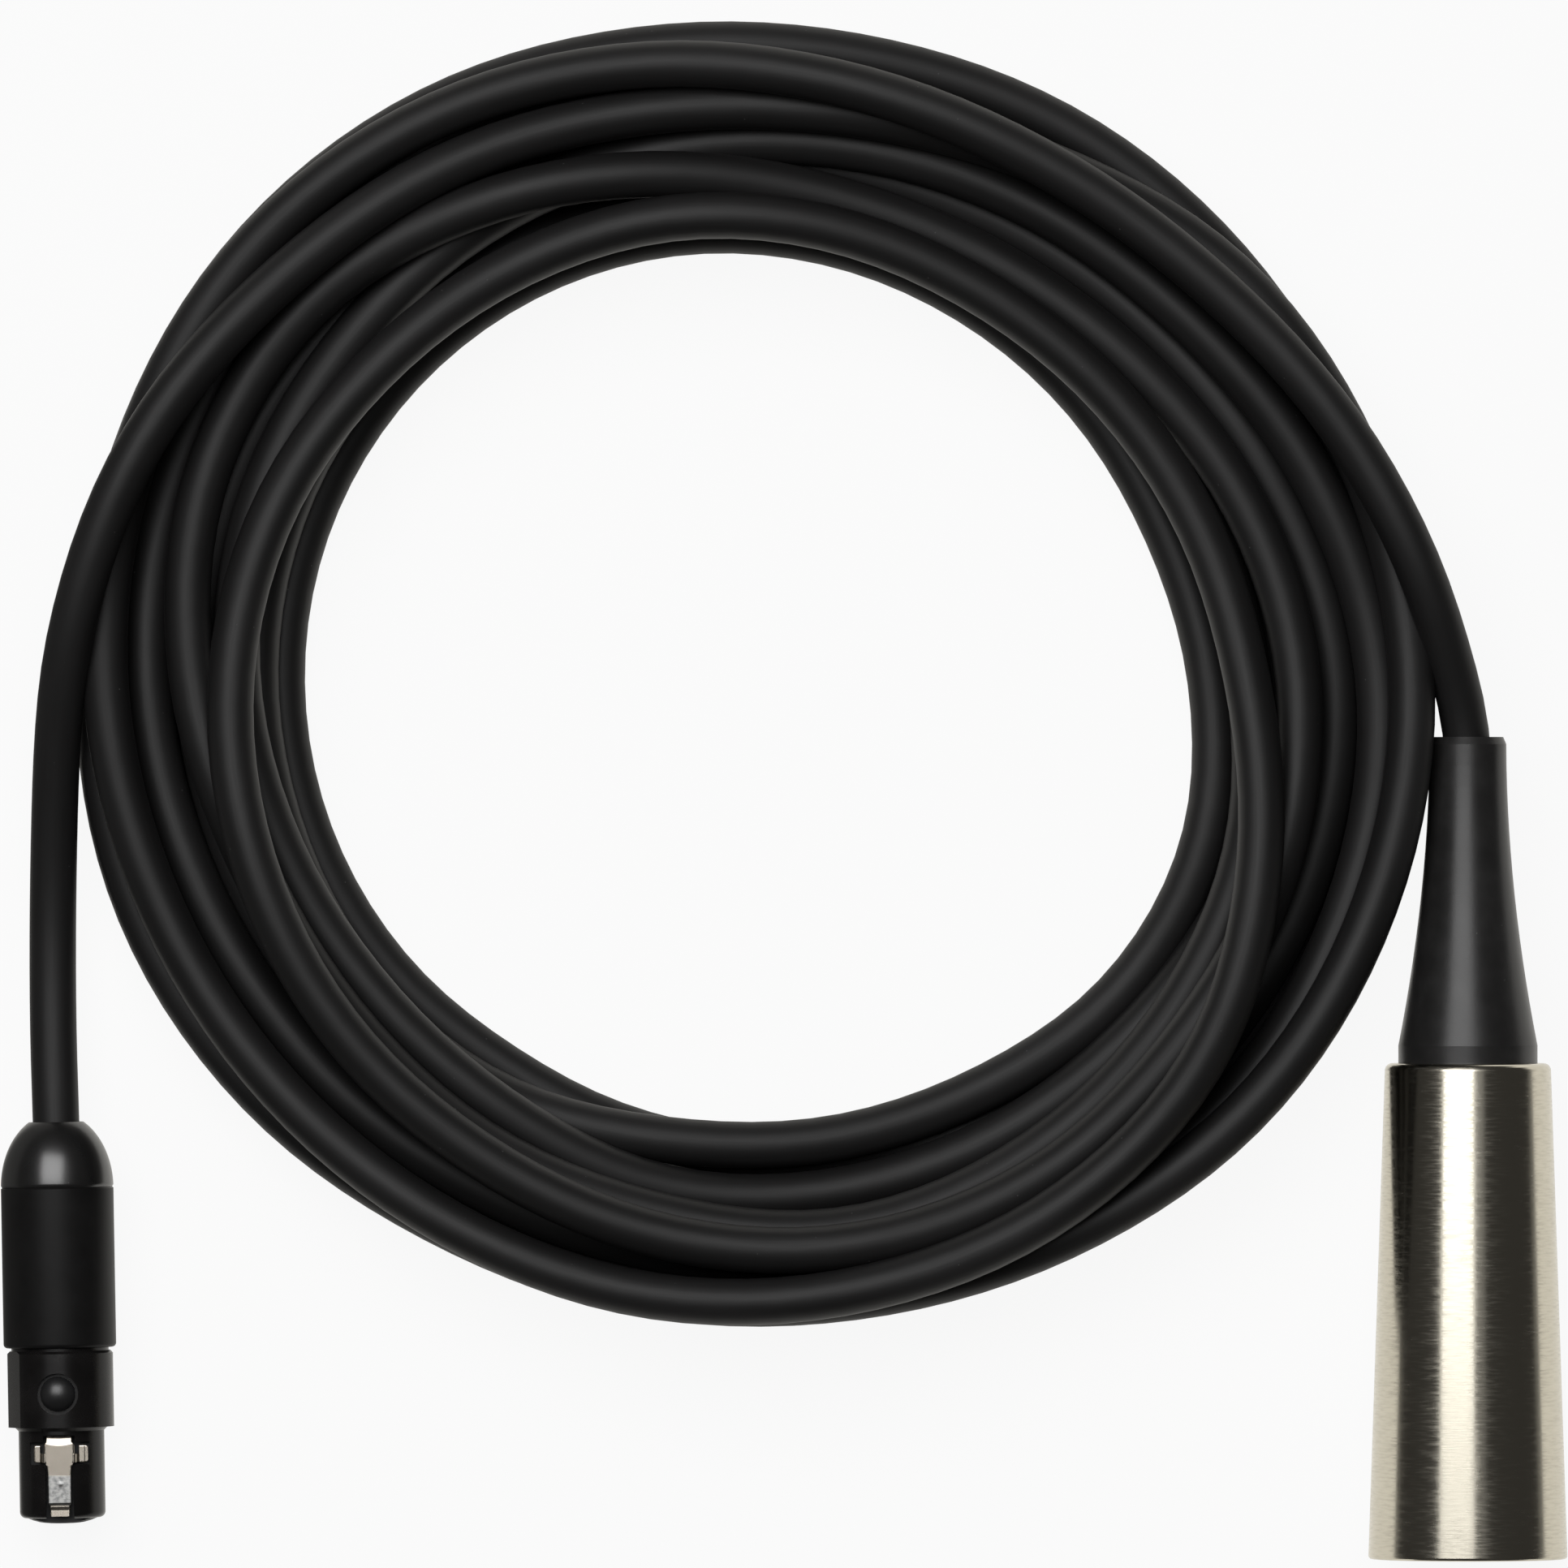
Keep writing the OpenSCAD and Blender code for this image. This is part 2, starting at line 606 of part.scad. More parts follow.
// Round insert with a collar behind and a domed face, flat on top under the latch
module mini_insert() {
    color([0.10, 0.10, 0.11])
    at_mini() difference() {
        union() {
            rotate_extrude($fn = 96) polygon(concat(
                [[0, mini_insert_rear], [mini_insert_r, mini_insert_rear]],
                [for (i = [6 : -1 : 0]) [mini_insert_r * i / 6, nose_end + face_rise * (1 - pow(i / 6, 3))]]
            ));
            rod(2 * mini_collar_r, mini_insert_rear, collar_seat - eps);
        }
        bar(nose_d, insert_flat, nose_d, mini_insert_rear - 1, nose_end + 1);
        for (a = socket_angles)
            rotate(a) translate([socket_circle_r, 0, 0]) rod(socket_d + 2 * fit, mini_insert_rear - 1, nose_end + 1);
    }
}

// Turned tube contact, bored from both ends
module mini_contact(a) {
    color([0.82, 0.66, 0.32])
    at_mini() rotate(a) translate([socket_circle_r, 0, 0]) difference() {
        rod(socket_d, mini_cup_rear, mini_face);
        rod(socket_bore, mini_face - socket_depth, mini_face + 1);
        rod(mini_cup_bore, mini_cup_rear - 1, mini_cup_rear + 1.8);
    }
}

module mini_contact_1() { mini_contact(socket_angles[0]); }
module mini_contact_2() { mini_contact(socket_angles[1]); }
module mini_contact_3() { mini_contact(socket_angles[2]); }

// Split band crimped on the cord, with two arms that reach the insert's collar
module mini_cable_clamp() {
    arm_x = mini_collar_r - 0.9;
    arm_t = 0.4;
    color([0.70, 0.68, 0.62])
    at_mini() difference() {
        union() {
            rod(cord_d + 1, mini_clamp_start, mini_clamp_start + mini_clamp_w);
            for (s = [-1, 1]) {
                translate([s * arm_x - arm_t / 2, -0.9, mini_clamp_start])
                    cube([arm_t, 1.8, mini_insert_rear - mini_clamp_start]);
                translate([s * arm_x / 2 - arm_x / 2, -0.9, mini_clamp_start]) cube([arm_x, 1.8, mini_clamp_w]);
            }
        }
        rod(cord_d + 2 * fit, mini_clamp_start - 1, mini_clamp_start + mini_clamp_w + 1);
        bar(0.4, 0, cord_d, mini_clamp_start - 1, mini_clamp_start + mini_clamp_w + 1);
    }
}

module mini_wire(a, tint) {
    near = 0.9 * outward(a);
    far = socket_circle_r * outward(a);
    reach = mini_cup_rear - mini_cord_end;
    color(tint)
    at_mini() rotate([90, 0, 0]) tube([for (s = [[0, 0], [0.2, 0], [0.5, 0.5], [0.8, 1], [1, 1]])
        let (c = near + (far - near) * s[1]) [c.x, mini_cord_end + reach * s[0], -c.y],
        [far.x, mini_cup_rear + 1.5, -far.y]], mini_wire_d, 8);
}

module mini_wire_shield() { mini_wire(socket_angles[0], [0.10, 0.10, 0.10]); }
module mini_wire_red() { mini_wire(socket_angles[1], [0.60, 0.08, 0.06]); }
module mini_wire_white() { mini_wire(socket_angles[2], [0.85, 0.84, 0.80]); }

// ---- Latch and button ----

// Side view of the leaf, as [z, height of its top]: level, up a ramp, level, and a step down to the catch
latch_line = [
    [leaf_start, leaf_y], [ramp_start, leaf_y], [ramp_end, latch_y], [plate_end - 0.3, latch_y],
    [plate_end, latch_y - catch_drop], [catch_end, latch_y - catch_drop]
];

// Plan of the leaf, half of it, as [half width, z]
latch_plan = [
    [leaf_w / 2, leaf_start], [leaf_w / 2, ramp_start], [stem_w / 2, ramp_start], [stem_w / 2, stem_end - 0.4],
    [plate_w / 2 - 0.15, stem_end], [plate_w / 2, stem_end + 0.6], [plate_w / 2, plate_end],
    [catch_w / 2, plate_end], [catch_w / 2, catch_end]
];

module mini_latch() {
    n = len(latch_line) - 1;
    color([0.85, 0.83, 0.78])
    at_mini() {
        intersection() {
            rotate([90, 0, 90]) translate([0, 0, -stem_w]) linear_extrude(2 * stem_w) polygon(concat(
                [for (p = latch_line) [p[1], p[0]]],
                [for (i = [n : -1 : 0]) [latch_line[i][1] - latch_t, latch_line[i][0]]]
            ));
            rotate([-90, 0, 0]) mirror([0, 1, 0]) linear_extrude(nose_d) polygon(concat(
                latch_plan,
                [for (i = [len(latch_plan) - 1 : -1 : 0]) [-latch_plan[i][0], latch_plan[i][1]]]
            ));
        }
        // Ears, bent round the nose, with a short gap beside the stem
        for (s = [-1, 1]) difference() {
            rod(2 * ear_r, ears_start, ears_end);
            rod(2 * (ear_r - latch_t), ears_start - 1, ears_end + 1);
            translate([s > 0 ? -nose_d : -stem_w / 2 + 0.2, -nose_d, ears_start - 1])
                cube([nose_d + stem_w / 2 - 0.2, 2 * nose_d, ears_end]);
            translate([s > 0 ? ears_w / 2 : -nose_d - ears_w / 2, -nose_d, ears_start - 1])
                cube([nose_d, 2 * nose_d, ears_end]);
            bar(nose_d, -nose_d, 0, ears_start - 1, ears_end + 1);
            bar(ear_in, 0, nose_d, ears_start - 1, bar_start);
        }
    }
}

module mini_button() {
    r = button_d / 2;
    foot = nub_y + nub_h;
    cap = button_seat - foot;
    bow = (r * r + button_rise * button_rise) / (2 * button_rise);
    half = asin(r / bow);
    color([0.06, 0.06, 0.065])
    at_mini() translate([0, foot, button_z]) rotate([-90, 0, 0]) rotate_extrude() polygon(concat(
        [[0, -nub_h], [0.6, -nub_h], [0.6, 0], [button_flange_d / 2, 0]],
        [[button_flange_d / 2, button_flange_t], [r, button_flange_t]],
        arc(0, cap + button_rise - bow, bow, 90 - half, 90, 8)
    ));
}

cable_coil();
cable_lead_xlr();
cable_lead_mini();
xlr_shell();
xlr_insert();
xlr_contact_1();
xlr_contact_2();
xlr_contact_3();
xlr_insert_screw();
xlr_ground_tag();
xlr_strain_relief();
xlr_cable_clamp();
xlr_clamp_screw();
xlr_wire_shield();
xlr_wire_red();
xlr_wire_white();
mini_handle();
mini_body();
mini_insert();
mini_contact_1();
mini_contact_2();
mini_contact_3();
mini_cable_clamp();
mini_wire_shield();
mini_wire_red();
mini_wire_white();
mini_latch();
mini_button();
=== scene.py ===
"""A coiled microphone cable with a large plug at one end and a small latching socket at the other.

The frame brings the hard parts. This script lays the cord in its coil, gives every part its
finish and sets up a plain studio. Lengths are in millimetres, and become metres where a mesh or
a lamp is made.
"""

import logging
import math
from dataclasses import dataclass, field
from enum import Enum

import bmesh
import bpy
import numpy as np
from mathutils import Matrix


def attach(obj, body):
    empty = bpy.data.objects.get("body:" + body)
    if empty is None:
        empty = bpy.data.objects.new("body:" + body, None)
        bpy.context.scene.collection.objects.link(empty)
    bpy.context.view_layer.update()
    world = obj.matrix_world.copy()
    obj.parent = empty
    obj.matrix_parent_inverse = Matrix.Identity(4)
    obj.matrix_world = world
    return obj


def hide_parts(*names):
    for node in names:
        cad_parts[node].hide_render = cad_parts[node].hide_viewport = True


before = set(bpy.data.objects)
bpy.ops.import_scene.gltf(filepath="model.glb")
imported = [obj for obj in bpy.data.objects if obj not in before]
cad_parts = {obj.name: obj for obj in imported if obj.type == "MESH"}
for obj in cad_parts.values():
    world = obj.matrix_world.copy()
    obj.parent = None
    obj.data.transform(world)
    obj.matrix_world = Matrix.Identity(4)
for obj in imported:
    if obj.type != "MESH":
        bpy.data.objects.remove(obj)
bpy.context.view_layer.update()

MM = 0.001
SHARP = math.radians(38)
KNOTS = 18
NICKEL = (0.66, 0.62, 0.52)
Colour = tuple[float, float, float]
Point = tuple[float, float, float]
Pair = tuple[float, float]

log = logging.getLogger("cable")


class Axis(Enum):
    """The direction that a pattern runs along."""

    X = 0
    Y = 1
    Z = 2


class Lie(Enum):
    """How a strand lies in a place of the coil."""

    SHOWN = 1.0
    BURIED = 0.0


class Wire:
    """The output of a shader node, in which sums are written as Python expressions."""

    def __init__(self, graph: "Graph", socket: bpy.types.NodeSocket) -> None:
        """Keep the graph that the node is in, and its output."""
        self.graph = graph
        self.socket = socket

    def sum(self, operation: str, *terms: "Wire | float") -> "Wire":
        """Add a Math node.

        Args:
            operation: the Math node's operation.
            terms: the numbers or wires that it takes, in order.

        Returns:
            The node's output.
        """
        return self.graph.node(
            "ShaderNodeMath", {"operation": operation}, dict(enumerate(terms))
        )

    def __add__(self, other: "Wire | float") -> "Wire":
        """This wire plus the other term."""
        return self.sum("ADD", self, other)

    def __radd__(self, other: float) -> "Wire":
        """A number plus this wire."""
        return self.sum("ADD", other, self)

    def __sub__(self, other: "Wire | float") -> "Wire":
        """This wire less the other term."""
        return self.sum("SUBTRACT", self, other)

    def __mul__(self, other: "Wire | float") -> "Wire":
        """This wire times the other term."""
        return self.sum("MULTIPLY", self, other)

    def __rmul__(self, other: float) -> "Wire":
        """A number times this wire."""
        return self.sum("MULTIPLY", other, self)

    def most(self, other: "Wire | float") -> "Wire":
        """The larger of this wire and the other term."""
        return self.sum("MAXIMUM", self, other)

    def over(self, low: float, high: float) -> "Wire":
        """Nought up to low and one from high on, with a smooth step between.

        Args:
            low: where the step starts.
            high: where it ends, which may be below low for a step down.

        Returns:
            The step, from nought to one.
        """
        return self.graph.node(
            "ShaderNodeMapRange",
            {"interpolation_type": "SMOOTHSTEP"},
            {"Value": self, "From Min": low, "From Max": high},
        )

    def stretched(self, along: Point) -> "Wire":
        """This vector with each part multiplied by its own number."""
        return self.graph.node(
            "ShaderNodeVectorMath", {"operation": "MULTIPLY"}, {0: self, 1: along}
        )

    def part(self, axis: Axis) -> "Wire":
        """One part of this vector."""
        return self.graph.node("ShaderNodeSeparateXYZ", {}, {0: self}, axis.value)


class Graph:
    """The node tree of one material."""

    def __init__(self, tree: bpy.types.NodeTree) -> None:
        """Start the tree empty."""
        self.tree = tree
        tree.nodes.clear()

    def add(
        self,
        kind: str,
        settings: dict[str, object],
        sockets: dict[int | str, object],
    ) -> bpy.types.Node:
        """Add a node.

        Args:
            kind: the node's type.
            settings: its own settings.
            sockets: the values or wires of its inputs, by name or place.

        Returns:
            The node.
        """
        made = self.tree.nodes.new(kind)
        for name, value in settings.items():
            setattr(made, name, value)
        for key, value in sockets.items():
            if isinstance(value, Wire):
                self.tree.links.new(value.socket, made.inputs[key])
            else:
                made.inputs[key].default_value = value
        return made

    def node(
        self,
        kind: str,
        settings: dict[str, object] | None = None,
        sockets: dict[int | str, object] | None = None,
        output: int | str = 0,
    ) -> Wire:
        """Add a node and take one of its outputs as a wire."""
        made = self.add(kind, settings or {}, sockets or {})
        return Wire(self, made.outputs[output])

    def place(self) -> Wire:
        """The place of each point on the part, in millimetres."""
        spot = self.node("ShaderNodeTexCoord", output="Object")
        return spot.stretched((1 / MM, 1 / MM, 1 / MM))

    def noise(self, place: Wire, pitch: Point, detail: float = 2.0) -> Wire:
        """Soft noise from nought to one.

        Args:
            place: where each point is, in millimetres.
            pitch: the size of the noise's waves along X, Y and Z, in millimetres.
            detail: how many finer waves are laid over the first.

        Returns:
            The noise.
        """
        return self.node(
            "ShaderNodeTexNoise",
            {"noise_dimensions": "3D"},
            {
                "Vector": place.stretched((1 / pitch[0], 1 / pitch[1], 1 / pitch[2])),
                "Scale": 1.0,
                "Detail": detail,
            },
        )

    def specks(self, place: Wire, cell: float, size: float, share: float) -> Wire:
        """Small round specks, one in some of the cells of a loose net.

        Args:
            place: where each point is, in millimetres.
            cell: the net's cell, in millimetres.
            size: a speck's radius, in millimetres.
            share: the share of cells that hold one.

        Returns:
            One in a speck and nought outside it.
        """
        net = {"Vector": place, "Scale": 1 / cell}
        near = self.node("ShaderNodeTexVoronoi", {}, net, "Distance")
        pick = self.node("ShaderNodeTexVoronoi", {}, net, "Color").part(Axis.X)
        radius = size / cell
        return near.over(radius, radius * 0.5) * pick.over(share, share - 0.02)

    def tint(
        self, share: Wire | float, first: Colour | Wire, second: Colour | Wire
    ) -> Wire:
        """A colour between two.

        Args:
            share: how much of the second is in it.
            first: the colour at nought.
            second: the colour at one.

        Returns:
            The mixed colour.
        """
        ends = [end if isinstance(end, Wire) else (*end, 1.0) for end in (first, second)]
        sockets = {0: share, 6: ends[0], 7: ends[1]}
        return self.node("ShaderNodeMix", {"data_type": "RGBA"}, sockets, 2)

    def relief(self, height: Wire, depth: float, under: Wire | None = None) -> Wire:
        """A bumped normal.

        Args:
            height: the height from nought to one.
            depth: what a height of one stands for, in millimetres.
            under: the normal of a bump that lies under this one.

        Returns:
            The normal.
        """
        sockets = {"Height": height, "Distance": depth * MM, "Strength": 1.0}
        if under is not None:
            sockets["Normal"] = under
        return self.node("ShaderNodeBump", {}, sockets)

    def surface(
        self, colour: Wire, rough: Wire, bump: Wire, others: dict[str, object]
    ) -> None:
        """Make the surface that the material shows.

        Args:
            colour: its colour.
            rough: its roughness.
            bump: its normal.
            others: the Principled shader's other values and wires, by name.
        """
        sockets = {"Base Color": colour, "Roughness": rough, "Normal": bump, **others}
        shader = self.node("ShaderNodeBsdfPrincipled", {}, sockets)
        self.add("ShaderNodeOutputMaterial", {}, {"Surface": shader})


class Finish:
    """What a part's surface is like. Each finish is made into a material once."""

    name: str

    def build(self, graph: Graph) -> None:
        """Lay the finish out in a node tree."""
        raise NotImplementedError

    def material(self) -> bpy.types.Material:
        """The finish as a material, made at its first use.

        Returns:
            The material.
        """
        label = f"finish_{self.name}"
        made = bpy.data.materials.get(label)
        if made is None:
            made = bpy.data.materials.new(label)
            made.use_nodes = True
            self.build(Graph(made.node_tree))
        return made

    def dress(self, part: bpy.types.Object) -> None:
        """Give the finish to a part."""
        part.data.materials.clear()
        part.data.materials.append(self.material())


@dataclass(frozen=True)
class JacketFinish(Finish):
    """A soft black jacket, drawn smooth, with faint lines along it, a dull bloom and dust."""

    name: str = "cord_jacket"
    deep: Colour = (0.0102, 0.0098, 0.0099)
    bloom: Colour = (0.0155, 0.0148, 0.015)
    dust: Colour = (0.12, 0.12, 0.12)
    gloss: float = 0.49
    spread: float = 0.1

    def build(self, graph: Graph) -> None:
        """Lay out the jacket along the cord's own length, which the mesh keeps as straight."""
        along = graph.node(
            "ShaderNodeAttribute", {"attribute_name": "straight"}, {}, "Vector"
        )
        cloud = graph.noise(along, (3.0, 3.0, 26.0), 3.0)
        lines = graph.noise(along, (0.22, 0.22, 9.0), 2.0)
        grain = graph.noise(along, (0.11, 0.11, 0.13), 2.0)
        waves = graph.noise(along, (2.4, 2.4, 4.5), 1.0)
        flecks = graph.specks(along, 1.6, 0.085, 0.28)
        coat = graph.tint(cloud.over(0.35, 0.75), self.deep, self.bloom)
        soft = graph.relief(waves, 0.03)
        colour = graph.tint(flecks * 0.6, coat, self.dust)
        rough = self.gloss + self.spread * cloud + 0.1 * (lines - 0.5) + 0.2 * flecks
        bump = graph.relief(lines * 0.6 + grain * 0.4, 0.006, soft)
        graph.surface(colour, rough, bump, {"IOR": 1.43})


@dataclass(frozen=True)
class BrushedFinish(Finish):
    """Plated metal, brushed in fine lines, with dull rows, scratches and small pits."""

    name: str
    colour: Colour
    across: Axis = Axis.Y
    line: float = 0.07
    reach: float = 5.0
    depth: float = 0.0012
    gloss: float = 0.13
    dull: float = 0.12
    pits: float = 0.25

    def pitch(self, line: float, reach: float) -> Point:
        """A pitch that is short across the lines and long with them."""
        size = [reach, reach, reach]
        size[self.across.value] = line
        return tuple(size)

    def build(self, graph: Graph) -> None:
        """Lay out the lines round the part, with their rows more or less dull."""
        spot = graph.place()
        fine = graph.noise(spot, self.pitch(self.line, self.reach), 3.0)
        rows = graph.noise(spot, self.pitch(self.line * 3.2, self.reach * 0.6), 3.0)
        cloud = graph.noise(spot, (4.0, 4.0, 4.0), 3.0)
        pits = graph.specks(spot, 1.9, 0.075, self.pits)
        worn = tuple(part * 0.8 for part in self.colour)
        plate = graph.tint(rows.over(0.35, 0.8) * 0.5 + cloud * 0.3, self.colour, worn)
        colour = graph.tint(pits * 0.7, plate, (0.06, 0.055, 0.05))
        dull = self.dull * rows.over(0.35, 0.8)
        rough = self.gloss + dull + 0.06 * cloud + 0.25 * pits
        bump = graph.relief(fine * 0.8 + rows * 0.2, self.depth)
        graph.surface(colour, rough, bump, {"Metallic": 1.0})


@dataclass(frozen=True)
class MouldedFinish(Finish):
    """Moulded plastic or rubber, with a fine grain, uneven gloss and a little dust."""

    name: str
    colour: Colour
    gloss: float = 0.42
    uneven: float = 0.12
    grain: float = 0.14
    depth: float = 0.006
    dust: float = 0.2
    bend: float = 1.5

    def build(self, graph: Graph) -> None:
        """Lay out the grain, with the gloss clouded over a few millimetres."""
        spot = graph.place()
        cloud = graph.noise(spot, (2.6, 2.6, 2.6), 4.0)
        grain = graph.noise(spot, (self.grain,) * 3, 3.0)
        flecks = graph.specks(spot, 1.5, 0.08, self.dust)
        pale = tuple(part * 1.7 + 0.002 for part in self.colour)
        skin = graph.tint(cloud.over(0.3, 0.8) * 0.6, self.colour, pale)
        colour = graph.tint(flecks * 0.5, skin, (0.2, 0.2, 0.195))
        rough = self.gloss + self.uneven * (cloud - 0.5) + 0.08 * (grain - 0.5)
        bump = graph.relief(grain, self.depth)
        graph.surface(colour, rough + 0.2 * flecks, bump, {"IOR": self.bend})


@dataclass(frozen=True)
class HandleFinish(Finish):
    """Black enamel: glossy over the dome at the cord's end, and satin down the straight part."""

    name: str = "socket_handle"
    colour: Colour = (0.006, 0.0058, 0.0058)
    crease: float = -38.35
    satin: float = 0.44
    shine: float = 0.4

    def build(self, graph: Graph) -> None:
        """Lay out the enamel, whose gloss steps at the crease, with fine turned lines."""
        spot = graph.place()
        dome = spot.part(Axis.Y).over(self.crease - 0.15, self.crease + 0.15)
        cloud = graph.noise(spot, (2.2, 2.2, 2.2), 4.0)
        turned = graph.noise(spot, (6.0, 0.12, 6.0), 2.0)
        grain = graph.noise(spot, (0.12, 0.12, 0.12), 2.0)
        flecks = graph.specks(spot, 1.3, 0.07, 0.22)
        skin = graph.tint(cloud, self.colour, (0.014, 0.0135, 0.0135))
        colour = graph.tint(flecks * 0.4, skin, (0.16, 0.155, 0.15))
        step = (self.shine - self.satin) * dome
        rough = self.satin + step + 0.08 * (cloud - 0.5) + 0.15 * flecks
        bump = graph.relief(turned * 0.5 + grain * 0.5, 0.003)
        coat = {"Coat Weight": dome * 0.6, "Coat Roughness": 0.26, "Coat IOR": 2.1}
        graph.surface(colour, rough, bump, {**coat, "IOR": 1.29})


@dataclass(frozen=True)
class LatchFinish(Finish):
    """Bright spring steel, brushed along the stem; on the plate, a painted darker reflection
    mottled by wear.
    """

    name: str = "spring_latch"
    stem: Colour = (0.63, 0.57, 0.49)
    # The plate's two greys are painted reflection, darker and cooler than the stem; the mottle
    # between them is wear.
    dark_reflection_rubbed: Colour = (0.25, 0.253, 0.25)
    pale_reflection_bare: Colour = (0.47, 0.467, 0.455)
    plate: Pair = (-66.12, -68.95)
    gloss: float = 0.2

    def build(self, graph: Graph) -> None:
        """Lay out the plate between its two ends, with its painted reflection and wear, and the
        stem on either side.
        """
        spot = graph.place()
        along = spot.part(Axis.Y)
        start, end = self.plate
        plate = along.over(start + 0.08, start - 0.08) * along.over(end - 0.05, end + 0.05)
        mottle = graph.noise(spot, (0.42, 0.42, 0.42), 3.0)
        rubs = graph.noise(spot, (0.8, 0.1, 0.8), 3.0)
        lines = graph.noise(spot, (0.07, 2.0, 0.07), 2.0)
        cloud = graph.noise(spot, (0.9, 0.9, 0.9), 2.0)
        worn = tuple(part * 0.86 for part in self.stem)
        wear = (mottle * 0.75 + rubs * 0.25).over(0.36, 0.62)
        # Painted reflection: the plate's grey stands in for how it reflects, with the mottle
        # between its two greys as wear.
        painted_reflection_and_wear = graph.tint(wear, self.dark_reflection_rubbed, self.pale_reflection_bare)
        colour = graph.tint(plate, graph.tint(cloud, self.stem, worn), painted_reflection_and_wear)
        rough = self.gloss + 0.05 * cloud + plate * (0.06 + 0.16 * mottle)
        height = lines * 0.5 + rubs * plate * 0.6 + mottle * plate * 0.8
        graph.surface(colour, rough, graph.relief(height, 0.0016), {"Metallic": 1.0})


def surface_mesh(
    name: str, *skins: np.ndarray, joined: bool = False
) -> bpy.types.Mesh:
    """Skin one or more runs of rings and close the two ends of each with a point.

    In a run, the point of ring i and side j is vertex i * sides + j. Each face joins sides j
    and j + 1 of rings i and i + 1, and the run's two last vertices are the middles of its end
    rings.

    Args:
        name: the mesh's name.
        skins: the points of each run, as an array of rings by sides by three, in millimetres.
        joined: whether each run's last ring joins its first, which takes the place of ends.

    Returns:
        The closed mesh, in metres, facing outward, with smooth faces and sharp corners.
    """
    points: list[np.ndarray] = []
    faces: list[list[int]] = []
    base = 0
    for rings in skins:
        count, sides, _ = rings.shape
        runs = count if joined else count - 1
        i, j = np.meshgrid(np.arange(runs), np.arange(sides), indexing="ij")
        step, after = (j + 1) % sides, (i + 1) % count
        corners = (
            i * sides + j,
            i * sides + step,
            after * sides + step,
            after * sides + j,
        )
        faces += (np.stack(corners, axis=-1).reshape(-1, 4) + base).tolist()
        points.append(rings.reshape(-1, 3))
        base += count * sides
        if joined:
            continue
        turn = np.arange(sides)
        after = (turn + 1) % sides
        first = np.full(sides, base)
        near = np.stack((first, after + base - count * sides, turn + base - count * sides))
        far = np.stack((first + 1, turn + base - sides, after + base - sides))
        faces += near.T.tolist() + far.T.tolist()
        points += [rings[:1].mean(axis=1), rings[-1:].mean(axis=1)]
        base += 2
    mesh = bpy.data.meshes.new(name)
    mesh.from_pydata((np.concatenate(points) * MM).tolist(), [], faces)
    solid = bmesh.new()
    solid.from_mesh(mesh)
    bmesh.ops.recalc_face_normals(solid, faces=solid.faces)
    solid.to_mesh(mesh)
    solid.free()
    mesh.polygons.foreach_set("use_smooth", np.ones(len(mesh.polygons), dtype=bool))
    mesh.set_sharp_from_angle(angle=SHARP)
    mesh.update()
    return mesh


def stand(name: str, data: bpy.types.ID) -> bpy.types.Object:
    """Add an object to the scene, at the origin and unturned."""
    made = bpy.data.objects.new(name, data)
    bpy.context.scene.collection.objects.link(made)
    return made


def add_piece(
    mesh: bpy.types.Mesh, finish: Finish, body: str, slot: str, *replaced: str
) -> bpy.types.Object:
    """Add a piece under its mesh's name, and log how many faces it has.

    Args:
        mesh: the piece's mesh, in the shared frame.
        finish: what its surface is like.
        body: the body that it rides on.
        slot: its material slot; not used.
        replaced: the parts of the frame that it stands for.

    Returns:
        The piece.
    """
    made = stand(mesh.name, mesh)
    finish.dress(made)
    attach(made, body)
    if replaced:
        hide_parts(*replaced)
    log.info("%s: %d faces", made.name, len(mesh.polygons))
    return made


def ribbon(
    path: np.ndarray,
    aside: Point,
    half: np.ndarray,
    thick: float,
    edge: float = 0.06,
) -> np.ndarray:
    """Rings round a flat strip with half-oval edges.

    A ring starts at one edge of the face that looks up, runs across it, down round the other
    edge, back across the under side and up round the first. Up is the cross product of aside
    and the direction of the path.

    Args:
        path: the middle of the strip, one point a ring, in millimetres.
        aside: the direction across the strip.
        half: half the strip's width at each ring.
        thick: the strip's thickness.
        edge: how far each edge rounds out past the flat.

    Returns:
        The rings, as an array of rings by sides by three.
    """
    ahead = np.gradient(path, axis=0)
    ahead /= np.linalg.norm(ahead, axis=1, keepdims=True)
    across = np.broadcast_to(np.array(aside), path.shape)
    up = np.cross(across, ahead)
    up /= np.linalg.norm(up, axis=1, keepdims=True)
    run = np.linspace(1, -1, 21)
    turn = np.radians(np.linspace(90, -90, 7)[1:-1])
    face, rim = np.ones_like(run), np.ones_like(turn)
    wide = np.concatenate((run, -rim, -run, rim))
    out = np.concatenate((0 * face, -np.cos(turn), 0 * face, np.cos(turn)))
    rise = np.concatenate((face, np.sin(turn), -face, -np.sin(turn)))
    flat = np.maximum(half - edge, 0.01)[:, None] * wide + edge * out
    return (
        path[:, None, :]
        + flat[..., None] * across[:, None, :]
        + (thick / 2 * rise)[None, :, None] * up[:, None, :]
    )


def spread_evenly(values: np.ndarray, passes: int) -> np.ndarray:
    """Even out a row of numbers: each becomes half itself and a quarter of either neighbour."""
    for _ in range(passes):
        held = np.concatenate((values[:1], values, values[-1:]))
        values = 0.25 * held[:-2] + 0.5 * held[1:-1] + 0.25 * held[2:]
    return values


